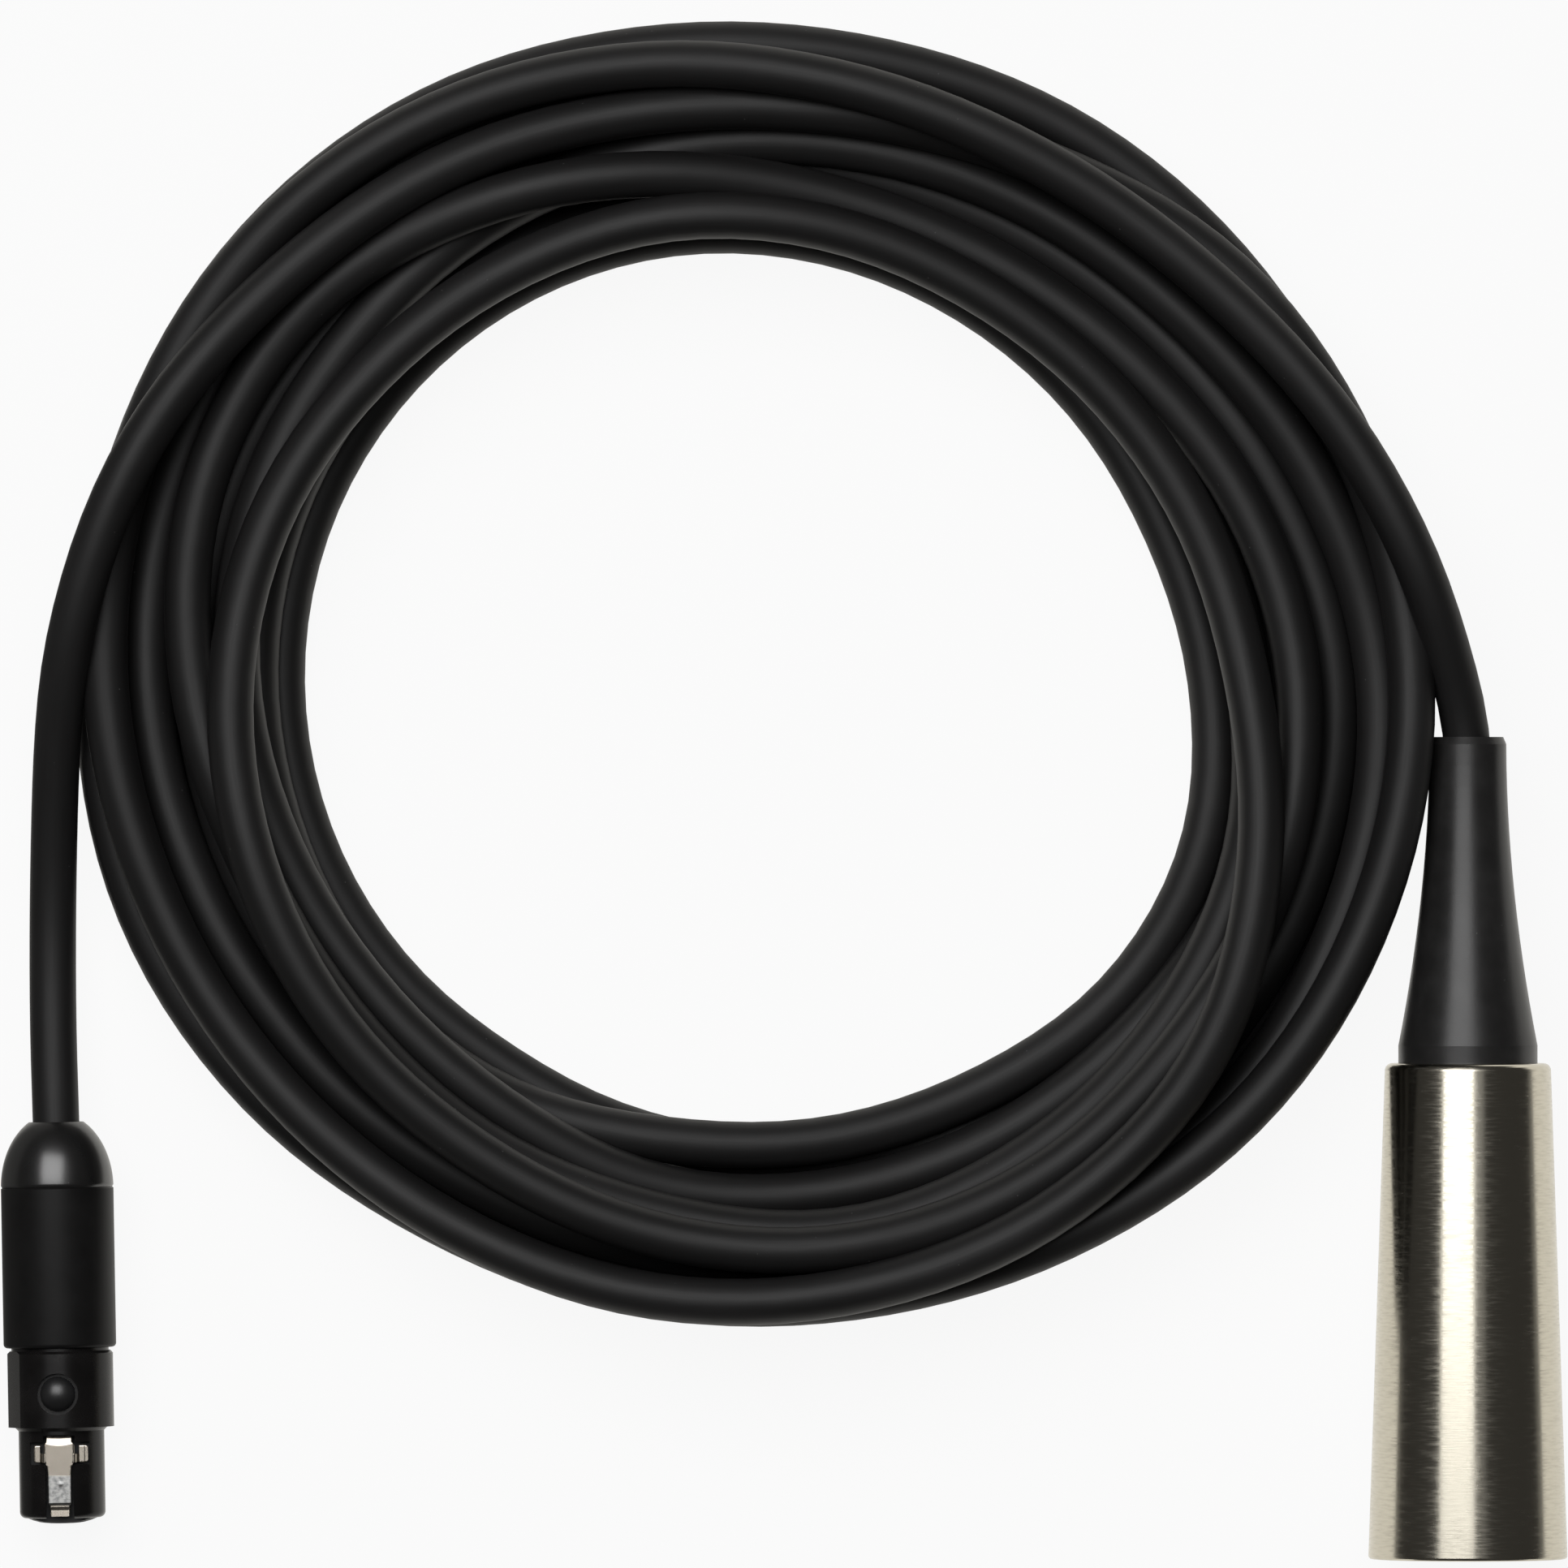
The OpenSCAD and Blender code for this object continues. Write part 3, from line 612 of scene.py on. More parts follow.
def curve_through(at: np.ndarray, knots: np.ndarray, values: np.ndarray) -> np.ndarray:
    """A smooth curve through knots.

    Between two knots it is the cubic that has their values, and the slopes that the central
    differences at both give.

    Args:
        at: where the curve is wanted.
        knots: where the knots are, rising.
        values: the values at the knots, one row each.

    Returns:
        The curve's values, one row for each place.
    """
    slope = np.gradient(values, knots, axis=0)
    cell = np.clip(np.searchsorted(knots, at, side="right") - 1, 0, len(knots) - 2)
    wide = (knots[1:] - knots[:-1])[cell]
    u = (at - knots[cell]) / wide
    if values.ndim > 1:
        u, wide = u[:, None], wide[:, None]
    return (
        (2 * u**3 - 3 * u**2 + 1) * values[cell]
        + (u**3 - 2 * u**2 + u) * wide * slope[cell]
        + (3 * u**2 - 2 * u**3) * values[cell + 1]
        + (u**3 - u**2) * wide * slope[cell + 1]
    )


@dataclass(frozen=True)
class Loop:
    """One loop of the coil, from the +X side round through +Y.

    It has a knot every 20 degrees. radius is its distance from the coil's middle there, rank
    its place in the order from the lowest strand to the highest, and lie whether it shows from
    above.
    """

    radius: tuple[float, ...]
    rank: tuple[float, ...]
    lie: tuple[Lie, ...]


def level(rank: float) -> tuple[float, ...]:
    """The same rank all the way round."""
    return (rank,) * KNOTS


def lies(*runs: tuple[Lie, int]) -> tuple[Lie, ...]:
    """The lie of a loop from runs of knots that lie alike."""
    return tuple(lie for lie, count in runs for _ in range(count))


SHOWN = lies((Lie.SHOWN, KNOTS))
BURIED = lies((Lie.BURIED, KNOTS))


@dataclass
class CoiledCord:
    """The one length of cord: its coil, and a free stretch to the plug at either end.

    Each loop has columns places. They start a layer apart for each rank, and drop by sink in
    each round, the first number in most rounds and the second in the last ones. No push between
    two places is longer than push_limit. In giving and hold the first number is for places that
    show and the second for buried ones. nesting is the share of its full rise that a strand in
    view keeps over a lower one, and haste scales the moves of a round. The arcs are in degrees,
    at the winding's start and at its end: free_arcs may pass the outer edge, end_arcs come to
    end_heights, and trimmed_arcs give way to the leads.
    """

    diameter: float = 4.5
    length: float = 4600.0
    centre: Pair = (-3.1, 10.5)
    columns: int = 120
    sides: int = 24
    spacing: float = 3.0
    layer: float = 0.9
    sink: Pair = (0.03, 0.009)
    push_limit: float = 0.8
    haste: float = 1.3
    nesting: float = 0.35
    giving: Pair = (0.02, 1.0)
    hold: Pair = (0.4, 0.004)
    free_arcs: Pair = (30.0, 60.0)
    end_arcs: Pair = (5.0, 14.0)
    end_heights: Pair = (11.0, 6.0)
    trimmed_arcs: Pair = (2.0, 20.0)
    smooth_run: float = 30.0
    far_pieces: tuple[str, ...] = ("latch", "nose_bridge", "handle", "button")
    finish: JacketFinish = JacketFinish()
    loops: tuple[Loop, ...] = (
        Loop(
            (67.6, 62.5, 58.4, 57.0, 57.8, 60.0, 62.2, 63.4, 63.1)
            + (62.2, 60.9, 60.1, 59.8, 60.0, 59.5, 58.8, 56.8, 52.0),
            level(13),
            SHOWN,
        ),
        Loop(
            (47.7, 45.5, 44.0, 43.4, 44.1, 45.1, 45.8, 46.9, 48.7)
            + (50.0, 50.9, 51.8, 52.6, 54.1, 55.3, 55.4, 54.3, 53.9),
            level(12),
            SHOWN,
        ),
        Loop(
            (52.7, 50.4, 47.7, 46.5, 47.0, 49.4, 52.7, 55.8, 56.0)
            + (53.8, 51.2, 50.8, 51.6, 52.3, 53.8, 53.2, 52.0, 50.6),
            (11,) * 16 + (10.5, 9.5),
            SHOWN,
        ),
        Loop(
            (48.4, 47.3, 46.6, 46.2, 46.6, 47.3, 47.8, 48.3, 48.8)
            + (48.9, 48.6, 48.1, 46.9, 45.1, 45.0, 45.4, 46.7, 46.5),
            (7, 5.5) + (5,) * 16,
            lies((Lie.BURIED, 12), (Lie.SHOWN, 6)),
        ),
        Loop(
            (44.4, 42.6, 42.2, 42.3, 43.0, 43.9, 44.6, 45.1, 45.4)
            + (45.4, 45.2, 44.8, 44.4, 46.1, 49.2, 50.8, 50.9, 50.6),
            (4.5,) * 13 + (4, 3, 2.5, 2, 2),
            lies((Lie.SHOWN, 13), (Lie.BURIED, 5)),
        ),
        Loop(
            (50.3, 49.7, 49.4, 49.4, 49.5, 49.7, 50.0, 50.2, 50.2)
            + (50.2, 50.3, 50.6, 51.2, 52.5, 53.9, 55.0, 55.3, 54.5),
            level(2),
            BURIED,
        ),
        Loop(
            (53.9, 54.2, 54.1, 54.1, 54.2, 54.5, 54.8, 55.2, 55.3)
            + (55.3, 55.3, 55.5, 56.1, 57.0, 58.0, 58.6, 58.8, 58.8),
            level(3),
            BURIED,
        ),
        Loop(
            (59.0, 58.8, 58.8, 58.9, 59.2, 59.7, 60.0, 60.2, 60.2)
            + (60.0, 59.8, 59.5, 59.2, 59.1, 58.6, 57.7, 56.8, 57.0),
            (3.5,) * 12 + (4, 4.5, 5, 5.5, 6, 6),
            lies((Lie.BURIED, 16), (Lie.SHOWN, 2)),
        ),
        Loop(
            (56.4, 53.9, 51.6, 50.4, 50.0, 51.2, 52.5, 53.9, 54.7)
            + (55.0, 55.1, 54.8, 55.2, 55.9, 56.9, 57.7, 58.2, 58.6),
            (6,) * 10 + (5.5, 5, 4.5, 4, 3.5, 3, 3, 3),
            lies((Lie.SHOWN, 5), (Lie.BURIED, 13)),
        ),
        Loop(
            (59.2, 59.2, 58.8, 58.2, 58.3, 58.8, 59.2, 59.5, 59.2)
            + (58.2, 56.9, 56.0, 56.4, 58.2, 59.6, 60.5, 61.6, 61.5),
            (3.5, 4, 5, 6, 7, 7.5) + (8,) * 12,
            lies((Lie.BURIED, 8), (Lie.SHOWN, 4), (Lie.BURIED, 4), (Lie.SHOWN, 2)),
        ),
        Loop(
            (60.5, 57.6, 54.5, 53.1, 52.2, 51.7, 51.2, 50.6, 50.4)
            + (49.5, 48.1, 47.3, 47.9, 49.7, 50.0, 50.1, 50.4, 51.4),
            (9.5,) * 17 + (8,),
            SHOWN,
        ),
        Loop(
            (52.2, 51.9, 52.2, 52.8, 53.4, 53.9, 54.5, 55.0, 55.5)
            + (56.2, 57.0, 58.2, 59.4, 60.3, 61.2, 61.9, 62.2, 61.7),
            (5.5, 5, 4.5, 4.5, 4.5, 5, 5, 5, 5.5, 6, 6, 6.5) + (7,) * 5 + (7.5,),
            BURIED,
        ),
        Loop(
            (61.3, 61.2, 61.2, 61.2, 60.9, 61.6, 63.0, 63.6, 63.3)
            + (63.0, 63.1, 61.9, 60.2, 60.0, 60.2, 61.5, 63.3, 63.8),
            (7.5, 8.5, 9.5) + (10,) * 15,
            lies((Lie.BURIED, 1), (Lie.SHOWN, 17)),
        ),
        Loop(
            (63.6, 62.3, 60.6, 57.2, 55.3, 55.5, 57.3, 59.4, 63.0, 66.3, 71.5),
            (10.5,) * 5 + (11, 12.5) + (14,) * 4,
            lies((Lie.SHOWN, 11)),
        ),
    )
    inner_edge: tuple[float, ...] = (
        (44.4, 42.6, 42.2, 42.3, 43.0, 43.9, 44.6, 45.1, 45.4)
        + (45.4, 45.2, 44.8, 44.4, 45.1, 45.2, 45.7, 46.2, 45.5)
    )
    outer_edge: tuple[float, ...] = (
        (63.6, 62.5, 61.2, 61.2, 60.9, 61.6, 63.0, 63.6, 63.4)
        + (63.0, 63.1, 61.9, 60.2, 60.0, 60.2, 61.5, 63.3, 63.8)
    )
    plug_lead: tuple[Point, ...] = (
        (65.9, -39.4, 9.575),
        (65.9, -32.9, 9.575),
        (65.9, -24.9, 9.575),
        (65.9, -14.0, 9.575),
        (65.9, -4.0, 9.575),
        (65.9, 5.0, 9.6),
    )
    socket_lead: tuple[Point, ...] = (
        (-70.02, 2.03, 8.4),
        (-70.23, -3.36, 6.4),
        (-70.45, -13.83, 4.2),
        (-70.31, -26.4, 4.7),
        (-70.12, -31.1, 5.35),
        (-70.0, -38.1, 5.43),
        (-69.89, -44.1, 5.43),
    )

    def strand(self) -> tuple[np.ndarray, np.ndarray, np.ndarray, np.ndarray]:
        """The whole winding as one row of places.

        Returns:
            The angle turned so far in degrees, the radius, the rank and whether it shows.
        """
        knots = 360 / KNOTS * np.arange(sum(len(loop.radius) for loop in self.loops))
        radius = np.array([r for loop in self.loops for r in loop.radius])
        rank = np.array([k for loop in self.loops for k in loop.rank], dtype=float)
        shown = np.array([lie.value for loop in self.loops for lie in loop.lie])
        places = int(knots[-1] / 360 * self.columns) + 1
        turned = np.arange(places) * (360 / self.columns)
        return (
            turned,
            curve_through(turned, knots, radius),
            np.interp(turned, knots, rank),
            np.interp(turned, knots, shown) > 0.5,
        )

    def settle(self, rounds: int = 600) -> tuple[np.ndarray, np.ndarray, np.ndarray]:
        """Let the winding sink until its strands lie on each other and on the floor.

        In each round every place drops a little. Where two loops, whole turns apart, come
        nearer than a diameter in the upright plane through the coil's middle, they push each
        other apart along the line between them. Where the upper one shows it is also kept
        above the lower. A place that shows keeps its radius, and one that is buried gives way
        between the coil's two edges.

        Args:
            rounds: how many rounds there are.

        Returns:
            The angle turned in degrees, the radius and the height.
        """
        turned, drawn, rank, shown = self.strand()
        wide = self.diameter
        height = wide / 2 + self.layer * spread_evenly(rank, 40)
        radius = drawn.copy()
        yielding = spread_evenly(np.where(shown, *self.giving), 4)
        hold = spread_evenly(np.where(shown, *self.hold), 4)
        compass = 360 / KNOTS * np.arange(KNOTS + 1)
        around = turned % 360
        low = np.interp(around, compass, self.inner_edge + self.inner_edge[:1])
        high = np.interp(around, compass, self.outer_edge + self.outer_edge[:1])
        left = turned[-1] - turned
        free = (turned < self.free_arcs[0]) | (left < self.free_arcs[1])
        high = np.where(free, math.inf, high)
        start = np.clip(1 - turned / self.end_arcs[0], 0, 1)
        finish = np.clip((self.end_arcs[1] - left) / self.end_arcs[1], 0, 1)
        for number in range(rounds):
            height = height - self.sink[number >= rounds * 0.8]
            out, up, touching = (np.zeros_like(radius) for _ in range(3))
            for turns in range(1, len(self.loops)):
                gap = self.columns * turns
                if gap >= len(turned):
                    break
                one, two = slice(0, len(turned) - gap), slice(gap, len(turned))
                side = radius[two] - radius[one]
                rise = height[two] - height[one]
                order = np.sign(rank[two] - rank[one] + 1e-6)
                over = np.where(order > 0, shown[two], shown[one])
                need = np.sqrt(np.clip(wide * wide - side * side, 0, None))
                near = np.abs(side) < wide
                wrong = over & near & (order * rise < self.nesting * need)
                apart = np.sqrt(side * side + rise * rise) + 1e-6
                hit = (apart < wide) | wrong
                along = np.where(wrong, 0, side / apart)
                upward = np.where(wrong, order, rise / apart)
                lift = np.minimum(need - order * rise, self.push_limit)
                short = np.where(wrong, lift, wide - apart)
                share = (yielding[one] + yielding[two]) * along**2 + 2 * upward**2
                push = np.where(hit, short / (share + 1e-6), 0)
                push = np.clip(push, 0, self.push_limit)
                out[one] -= push * along * yielding[one]
                out[two] += push * along * yielding[two]
                up[one] -= push * upward
                up[two] += push * upward
                touching[one] += hit
                touching[two] += hit
            ease = self.haste / np.maximum(1, touching)
            radius = radius + out * ease
            radius = radius + hold * (drawn - radius)
            radius = np.where(shown, radius, np.clip(radius, low, high))
            height = np.maximum(height + up * ease, wide / 2)
            height = height * (1 - start) + self.end_heights[0] * start
            height = height * (1 - finish) + self.end_heights[1] * finish
            radius = drawn + spread_evenly(radius - drawn, 2)
            height = spread_evenly(height, 2)
        return turned, radius, height

    def length_along(self, line: np.ndarray) -> np.ndarray:
        """How far each point of a line lies along it."""
        steps = np.linalg.norm(np.diff(line, axis=0), axis=1)
        return np.concatenate(([0.0], np.cumsum(steps)))

    def centreline(self) -> np.ndarray:
        """The cord's middle line from inside the plug to inside the socket.

        Returns:
            Points at even steps along it, in millimetres.
        """
        turned, radius, height = self.settle()
        x = self.centre[0] + radius * np.cos(np.radians(turned))
        y = self.centre[1] + radius * np.sin(np.radians(turned))
        winding = np.stack((x, y, height), axis=-1)
        first, last = self.trimmed_arcs
        winding = winding[(turned >= first) & (turned <= turned[-1] - last)]
        rough = np.concatenate((self.plug_lead, winding, self.socket_lead))
        run = self.length_along(rough)
        even = np.linspace(0, run[-1], int(run[-1] / self.spacing) + 1)
        line = curve_through(even, run, rough)
        inward = np.minimum(even, run[-1] - even) / self.smooth_run
        return line + np.clip(inward, 0, 1)[:, None] * (spread_evenly(line, 2) - line)

    def build(self) -> None:
        """Skin the centreline and dress it.

        The point of ring i at turn a is the centre plus the radius times the cosine of a along
        the level direction across the cord, and the sine of a along the direction square to
        both. The same point on a straight cord is kept as an attribute for the finish.
        """
        line = self.centreline()
        ahead = np.gradient(line, axis=0)
        ahead /= np.linalg.norm(ahead, axis=1, keepdims=True)
        level_way = np.cross(ahead, (0.0, 0.0, 1.0))
        level_way /= np.linalg.norm(level_way, axis=1, keepdims=True)
        upright = np.cross(level_way, ahead)
        turn = np.arange(self.sides) * (2 * math.pi / self.sides)
        half = self.diameter / 2
        ring = half * (
            np.cos(turn)[None, :, None] * level_way[:, None, :]
            + np.sin(turn)[None, :, None] * upright[:, None, :]
        )
        mesh = surface_mesh("cord", line[:, None, :] + ring)
        run = self.length_along(line)
        straight = np.zeros((len(line), self.sides, 3))
        straight[..., 0] = half * np.cos(turn)
        straight[..., 1] = half * np.sin(turn)
        straight[..., 2] = run[:, None]
        ends = np.array([[0.0, 0.0, 0.0], [0.0, 0.0, run[-1]]])
        kept = mesh.attributes.new("straight", "FLOAT_VECTOR", "POINT")
        kept.data.foreach_set(
            "vector", np.concatenate((straight.reshape(-1, 3), ends)).ravel()
        )
        replaced = ("cable_coil", "cable_lead_xlr", "cable_lead_mini")
        cord = add_piece(mesh, self.finish, "cord_set", "cord_jacket", *replaced)
        (line * MM).tolist()
        log.info("cord: %.0f mm long, %d rings", run[-1], len(line))


@dataclass
class LargePlug:
    """The tapered metal plug with its rubber relief, its insert and what is inside it."""

    shell: BrushedFinish = BrushedFinish(
        "plug_shell", NICKEL, line=0.06, reach=2.6, depth=0.001, dull=0.12
    )
    relief: MouldedFinish = MouldedFinish(
        "relief_rubber", (0.019, 0.0184, 0.0182), gloss=0.33, dust=0.45, bend=1.51
    )
    insert: MouldedFinish = MouldedFinish(
        "plug_insert", (0.02, 0.02, 0.021), gloss=0.5, grain=0.2
    )
    pin: BrushedFinish = BrushedFinish(
        "plug_pin", (0.86, 0.84, 0.79), line=0.05, reach=2.0, depth=0.0008, pits=0.1
    )
    screw: BrushedFinish = BrushedFinish(
        "zinc_screw", (0.56, 0.57, 0.59), line=0.07, reach=1.0, gloss=0.3
    )
    tag: BrushedFinish = BrushedFinish(
        "tinned_tag", (0.68, 0.66, 0.6), Axis.X, line=0.12, reach=3.0, gloss=0.3
    )
    clamp: MouldedFinish = MouldedFinish("plug_clamp", (0.03, 0.03, 0.032), gloss=0.48)

    def dress(self) -> None:
        """Give each of the plug's parts its finish."""
        parts = {
            "xlr_shell": self.shell,
            "xlr_strain_relief": self.relief,
            "xlr_insert": self.insert,
            **{f"xlr_contact_{number}": self.pin for number in (1, 2, 3)},
            "xlr_insert_screw": self.screw,
            "xlr_clamp_screw": self.screw,
            "xlr_ground_tag": self.tag,
            "xlr_cable_clamp": self.clamp,
        }
        dress_nodes(parts)


@dataclass
class SpringLatch:
    """The spring leaf of the small socket, and the black bridge that it comes out from under.

    Lengths are in the socket's own frame: x across, y up and z from the cord's end to the mouth.
    plan is half the leaf's width at places along it, and ridges how far it steps down there.
    notch is how far out the ears stay narrow, and where their inner edge lies till then.
    climb and ramp are the places where the leaf's rise starts and ends, and climb_share is the
    part of it that the climb takes. ear_step is where an ear's step starts and how wide it is.
    """

    origin: Point = (-70.1, -32.1, 5.43)
    lean: float = 1.0
    roll: float = 2.3
    thick: float = 0.3
    plan: tuple[Pair, ...] = (
        ((13.4, 1.15), (30.2, 1.22), (30.8, 1.26), (30.95, 1.38), (31.1, 1.48))
        + ((32.5, 1.5), (32.85, 1.36), (33.15, 1.2), (34.0, 1.14), (36.7, 1.12))
        + ((36.85, 0.98), (37.96, 0.94))
    )
    leaf_top: float = 3.3
    stem_top: float = 3.85
    climb: Pair = (29.5, 30.1)
    ramp: Pair = (30.1, 31.08)
    climb_share: float = 0.47
    level_half: float = 1.2
    ridges: tuple[Pair, ...] = (
        (36.7, 0.0), (36.8, 0.12), (37.12, 0.12), (37.24, 0.27), (38.0, 0.26)
    )
    bump: Pair = (0.12, 34.85)
    ears: Pair = (-2.5, 2.72)
    ear_drop: float = 0.81
    ear_step: Pair = (1.4, 0.46)
    ear_ends: Pair = (31.1, 32.8)
    notch: Pair = (1.87, 31.88)
    ear_corner: float = 0.28
    bridge_half: float = 1.53
    bridge_side: tuple[Pair, ...] = (
        ((29.3, 3.87), (29.3, 4.58), (29.75, 4.13), (30.12, 4.13))
        + ((30.2, 4.1), (30.24, 4.02), (30.24, 3.87))
    )
    finish: LatchFinish = LatchFinish()

    def placed(self, points: np.ndarray) -> np.ndarray:
        """Points of the socket's own frame in the shared one.

        They are turned about z by the roll, laid down so that z points along -Y, turned about
        the upright by the lean and moved to the origin.

        Args:
            points: the points, in the last part of the array.

        Returns:
            The same points where the socket lies.
        """
        roll, lean = math.radians(self.roll), math.radians(self.lean)
        x = points[..., 0] * math.cos(roll) - points[..., 1] * math.sin(roll)
        y = points[..., 0] * math.sin(roll) + points[..., 1] * math.cos(roll)
        z = points[..., 2]
        turned = (
            x * math.cos(lean) + z * math.sin(lean),
            x * math.sin(lean) - z * math.cos(lean),
            y,
        )
        return np.stack(turned, axis=-1) + self.origin

    def top(self, x: np.ndarray, z: np.ndarray) -> np.ndarray:
        """The height of the leaf's upper face.

        It is level, climbs steeply under the bridge and then in a gentle ramp that ends in a
        curve, runs level, and steps down over two ridges. The edges beyond level_half from
        the middle bend down, and a small bump stands on the plate.

        Args:
            x: how far across each point is.
            z: how far along it is.

        Returns:
            The height at each point.
        """
        ramp_end = self.ramp[1] - 0.2 * (x / self.level_half) ** 2
        ramp = np.clip((z - self.ramp[0]) / (ramp_end - self.ramp[0]), 0, 1)
        climb = np.clip((z - self.climb[0]) / (self.climb[1] - self.climb[0]), 0, 1)
        risen = self.climb_share * climb + (1 - self.climb_share) * ramp
        steps = np.interp(z, *np.transpose(self.ridges))
        bend = 0.6 * np.clip(np.abs(x) - self.level_half, 0, None) ** 2
        away = np.hypot(x - self.bump[0], z - self.bump[1])
        return (
            self.leaf_top
            + (self.stem_top - self.leaf_top) * risen
            - steps
            - bend
            + 0.05 * np.exp(-((away / 0.17) ** 2))
        )

    def leaf(self) -> np.ndarray:
        """The leaf's rings: a flat ribbon whose points are lifted to the height of its top."""
        z = np.arange(self.plan[0][0], self.plan[-1][0], 0.05)
        path = np.stack((0 * z, 0 * z, z), axis=-1)
        half = spread_evenly(np.interp(z, *np.transpose(self.plan)), 1)
        rings = ribbon(path, (-1.0, 0.0, 0.0), half, self.thick)
        height = self.top(rings[..., 0], rings[..., 2])
        rings[..., 1] += spread_evenly(height, 1) - self.thick / 2
        return rings

    def ear(self, end: float) -> np.ndarray:
        """One ear's rings: level at the stem, a steep step down, then a gentle slope out.

        Args:
            end: how far across its tip is, below nought on the left.

        Returns:
            The rings.
        """
        out = np.linspace(1.0, abs(end), 40)
        side = math.copysign(1.0, end)
        step = np.clip((out - self.ear_step[0]) / self.ear_step[1], 0, 1)
        fall = self.ear_drop * step * step * (3 - 2 * step)
        fall += 0.05 * np.clip(out - 1.8, 0, None)
        groove = 0.02 * np.exp(-(((out - 2.42) / 0.06) ** 2))
        y = self.stem_top - 0.02 - self.thick / 2 - fall - groove
        path = np.stack((side * out, y, 0 * out), axis=-1)
        low, high = self.ear_ends
        inner = np.where(out < self.notch[0], self.notch[1], low)
        past = np.clip((out - out[-1]) / self.ear_corner + 1, 0, 1)
        round_off = self.ear_corner * (1 - np.sqrt(1 - past**2))
        half = (high - inner) / 2 - round_off
        rings = ribbon(path, (0.0, 0.0, side), half, self.thick)
        rings[..., 2] += (high + inner)[:, None] / 2
        return rings

    def bridge(self) -> np.ndarray:
        """The bridge's rings: its side view, turned across the leaf as the nose is round.

        The side view is a row of places along the socket, each with its distance from the
        axis. Every edge of it is cut in eight, so that the skin shades evenly.
        """
        reach = math.asin(self.bridge_half / self.bridge_side[3][1])
        across = np.linspace(-reach, reach, 25)[:, None]
        knots = np.array(self.bridge_side + self.bridge_side[:1])
        at = np.arange(8 * len(self.bridge_side)) / 8
        whole = np.arange(len(knots))
        z = np.interp(at, whole, knots[:, 0]) + 0 * across
        radius = np.interp(at, whole, knots[:, 1])
        return np.stack((radius * np.sin(across), radius * np.cos(across), z), axis=-1)

    def build(self, black: Finish) -> None:
        """Make the latch and the bridge.

        Args:
            black: the finish of the socket's body, for the bridge.
        """
        skins = [self.leaf()] + [self.ear(end) for end in self.ears]
        mesh = surface_mesh("latch", *(self.placed(rings) for rings in skins))
        add_piece(mesh, self.finish, "latch", "spring_steel", "mini_latch")
        mesh = surface_mesh("nose_bridge", self.placed(self.bridge()))
        add_piece(mesh, black, "cord_set", "black_socket")


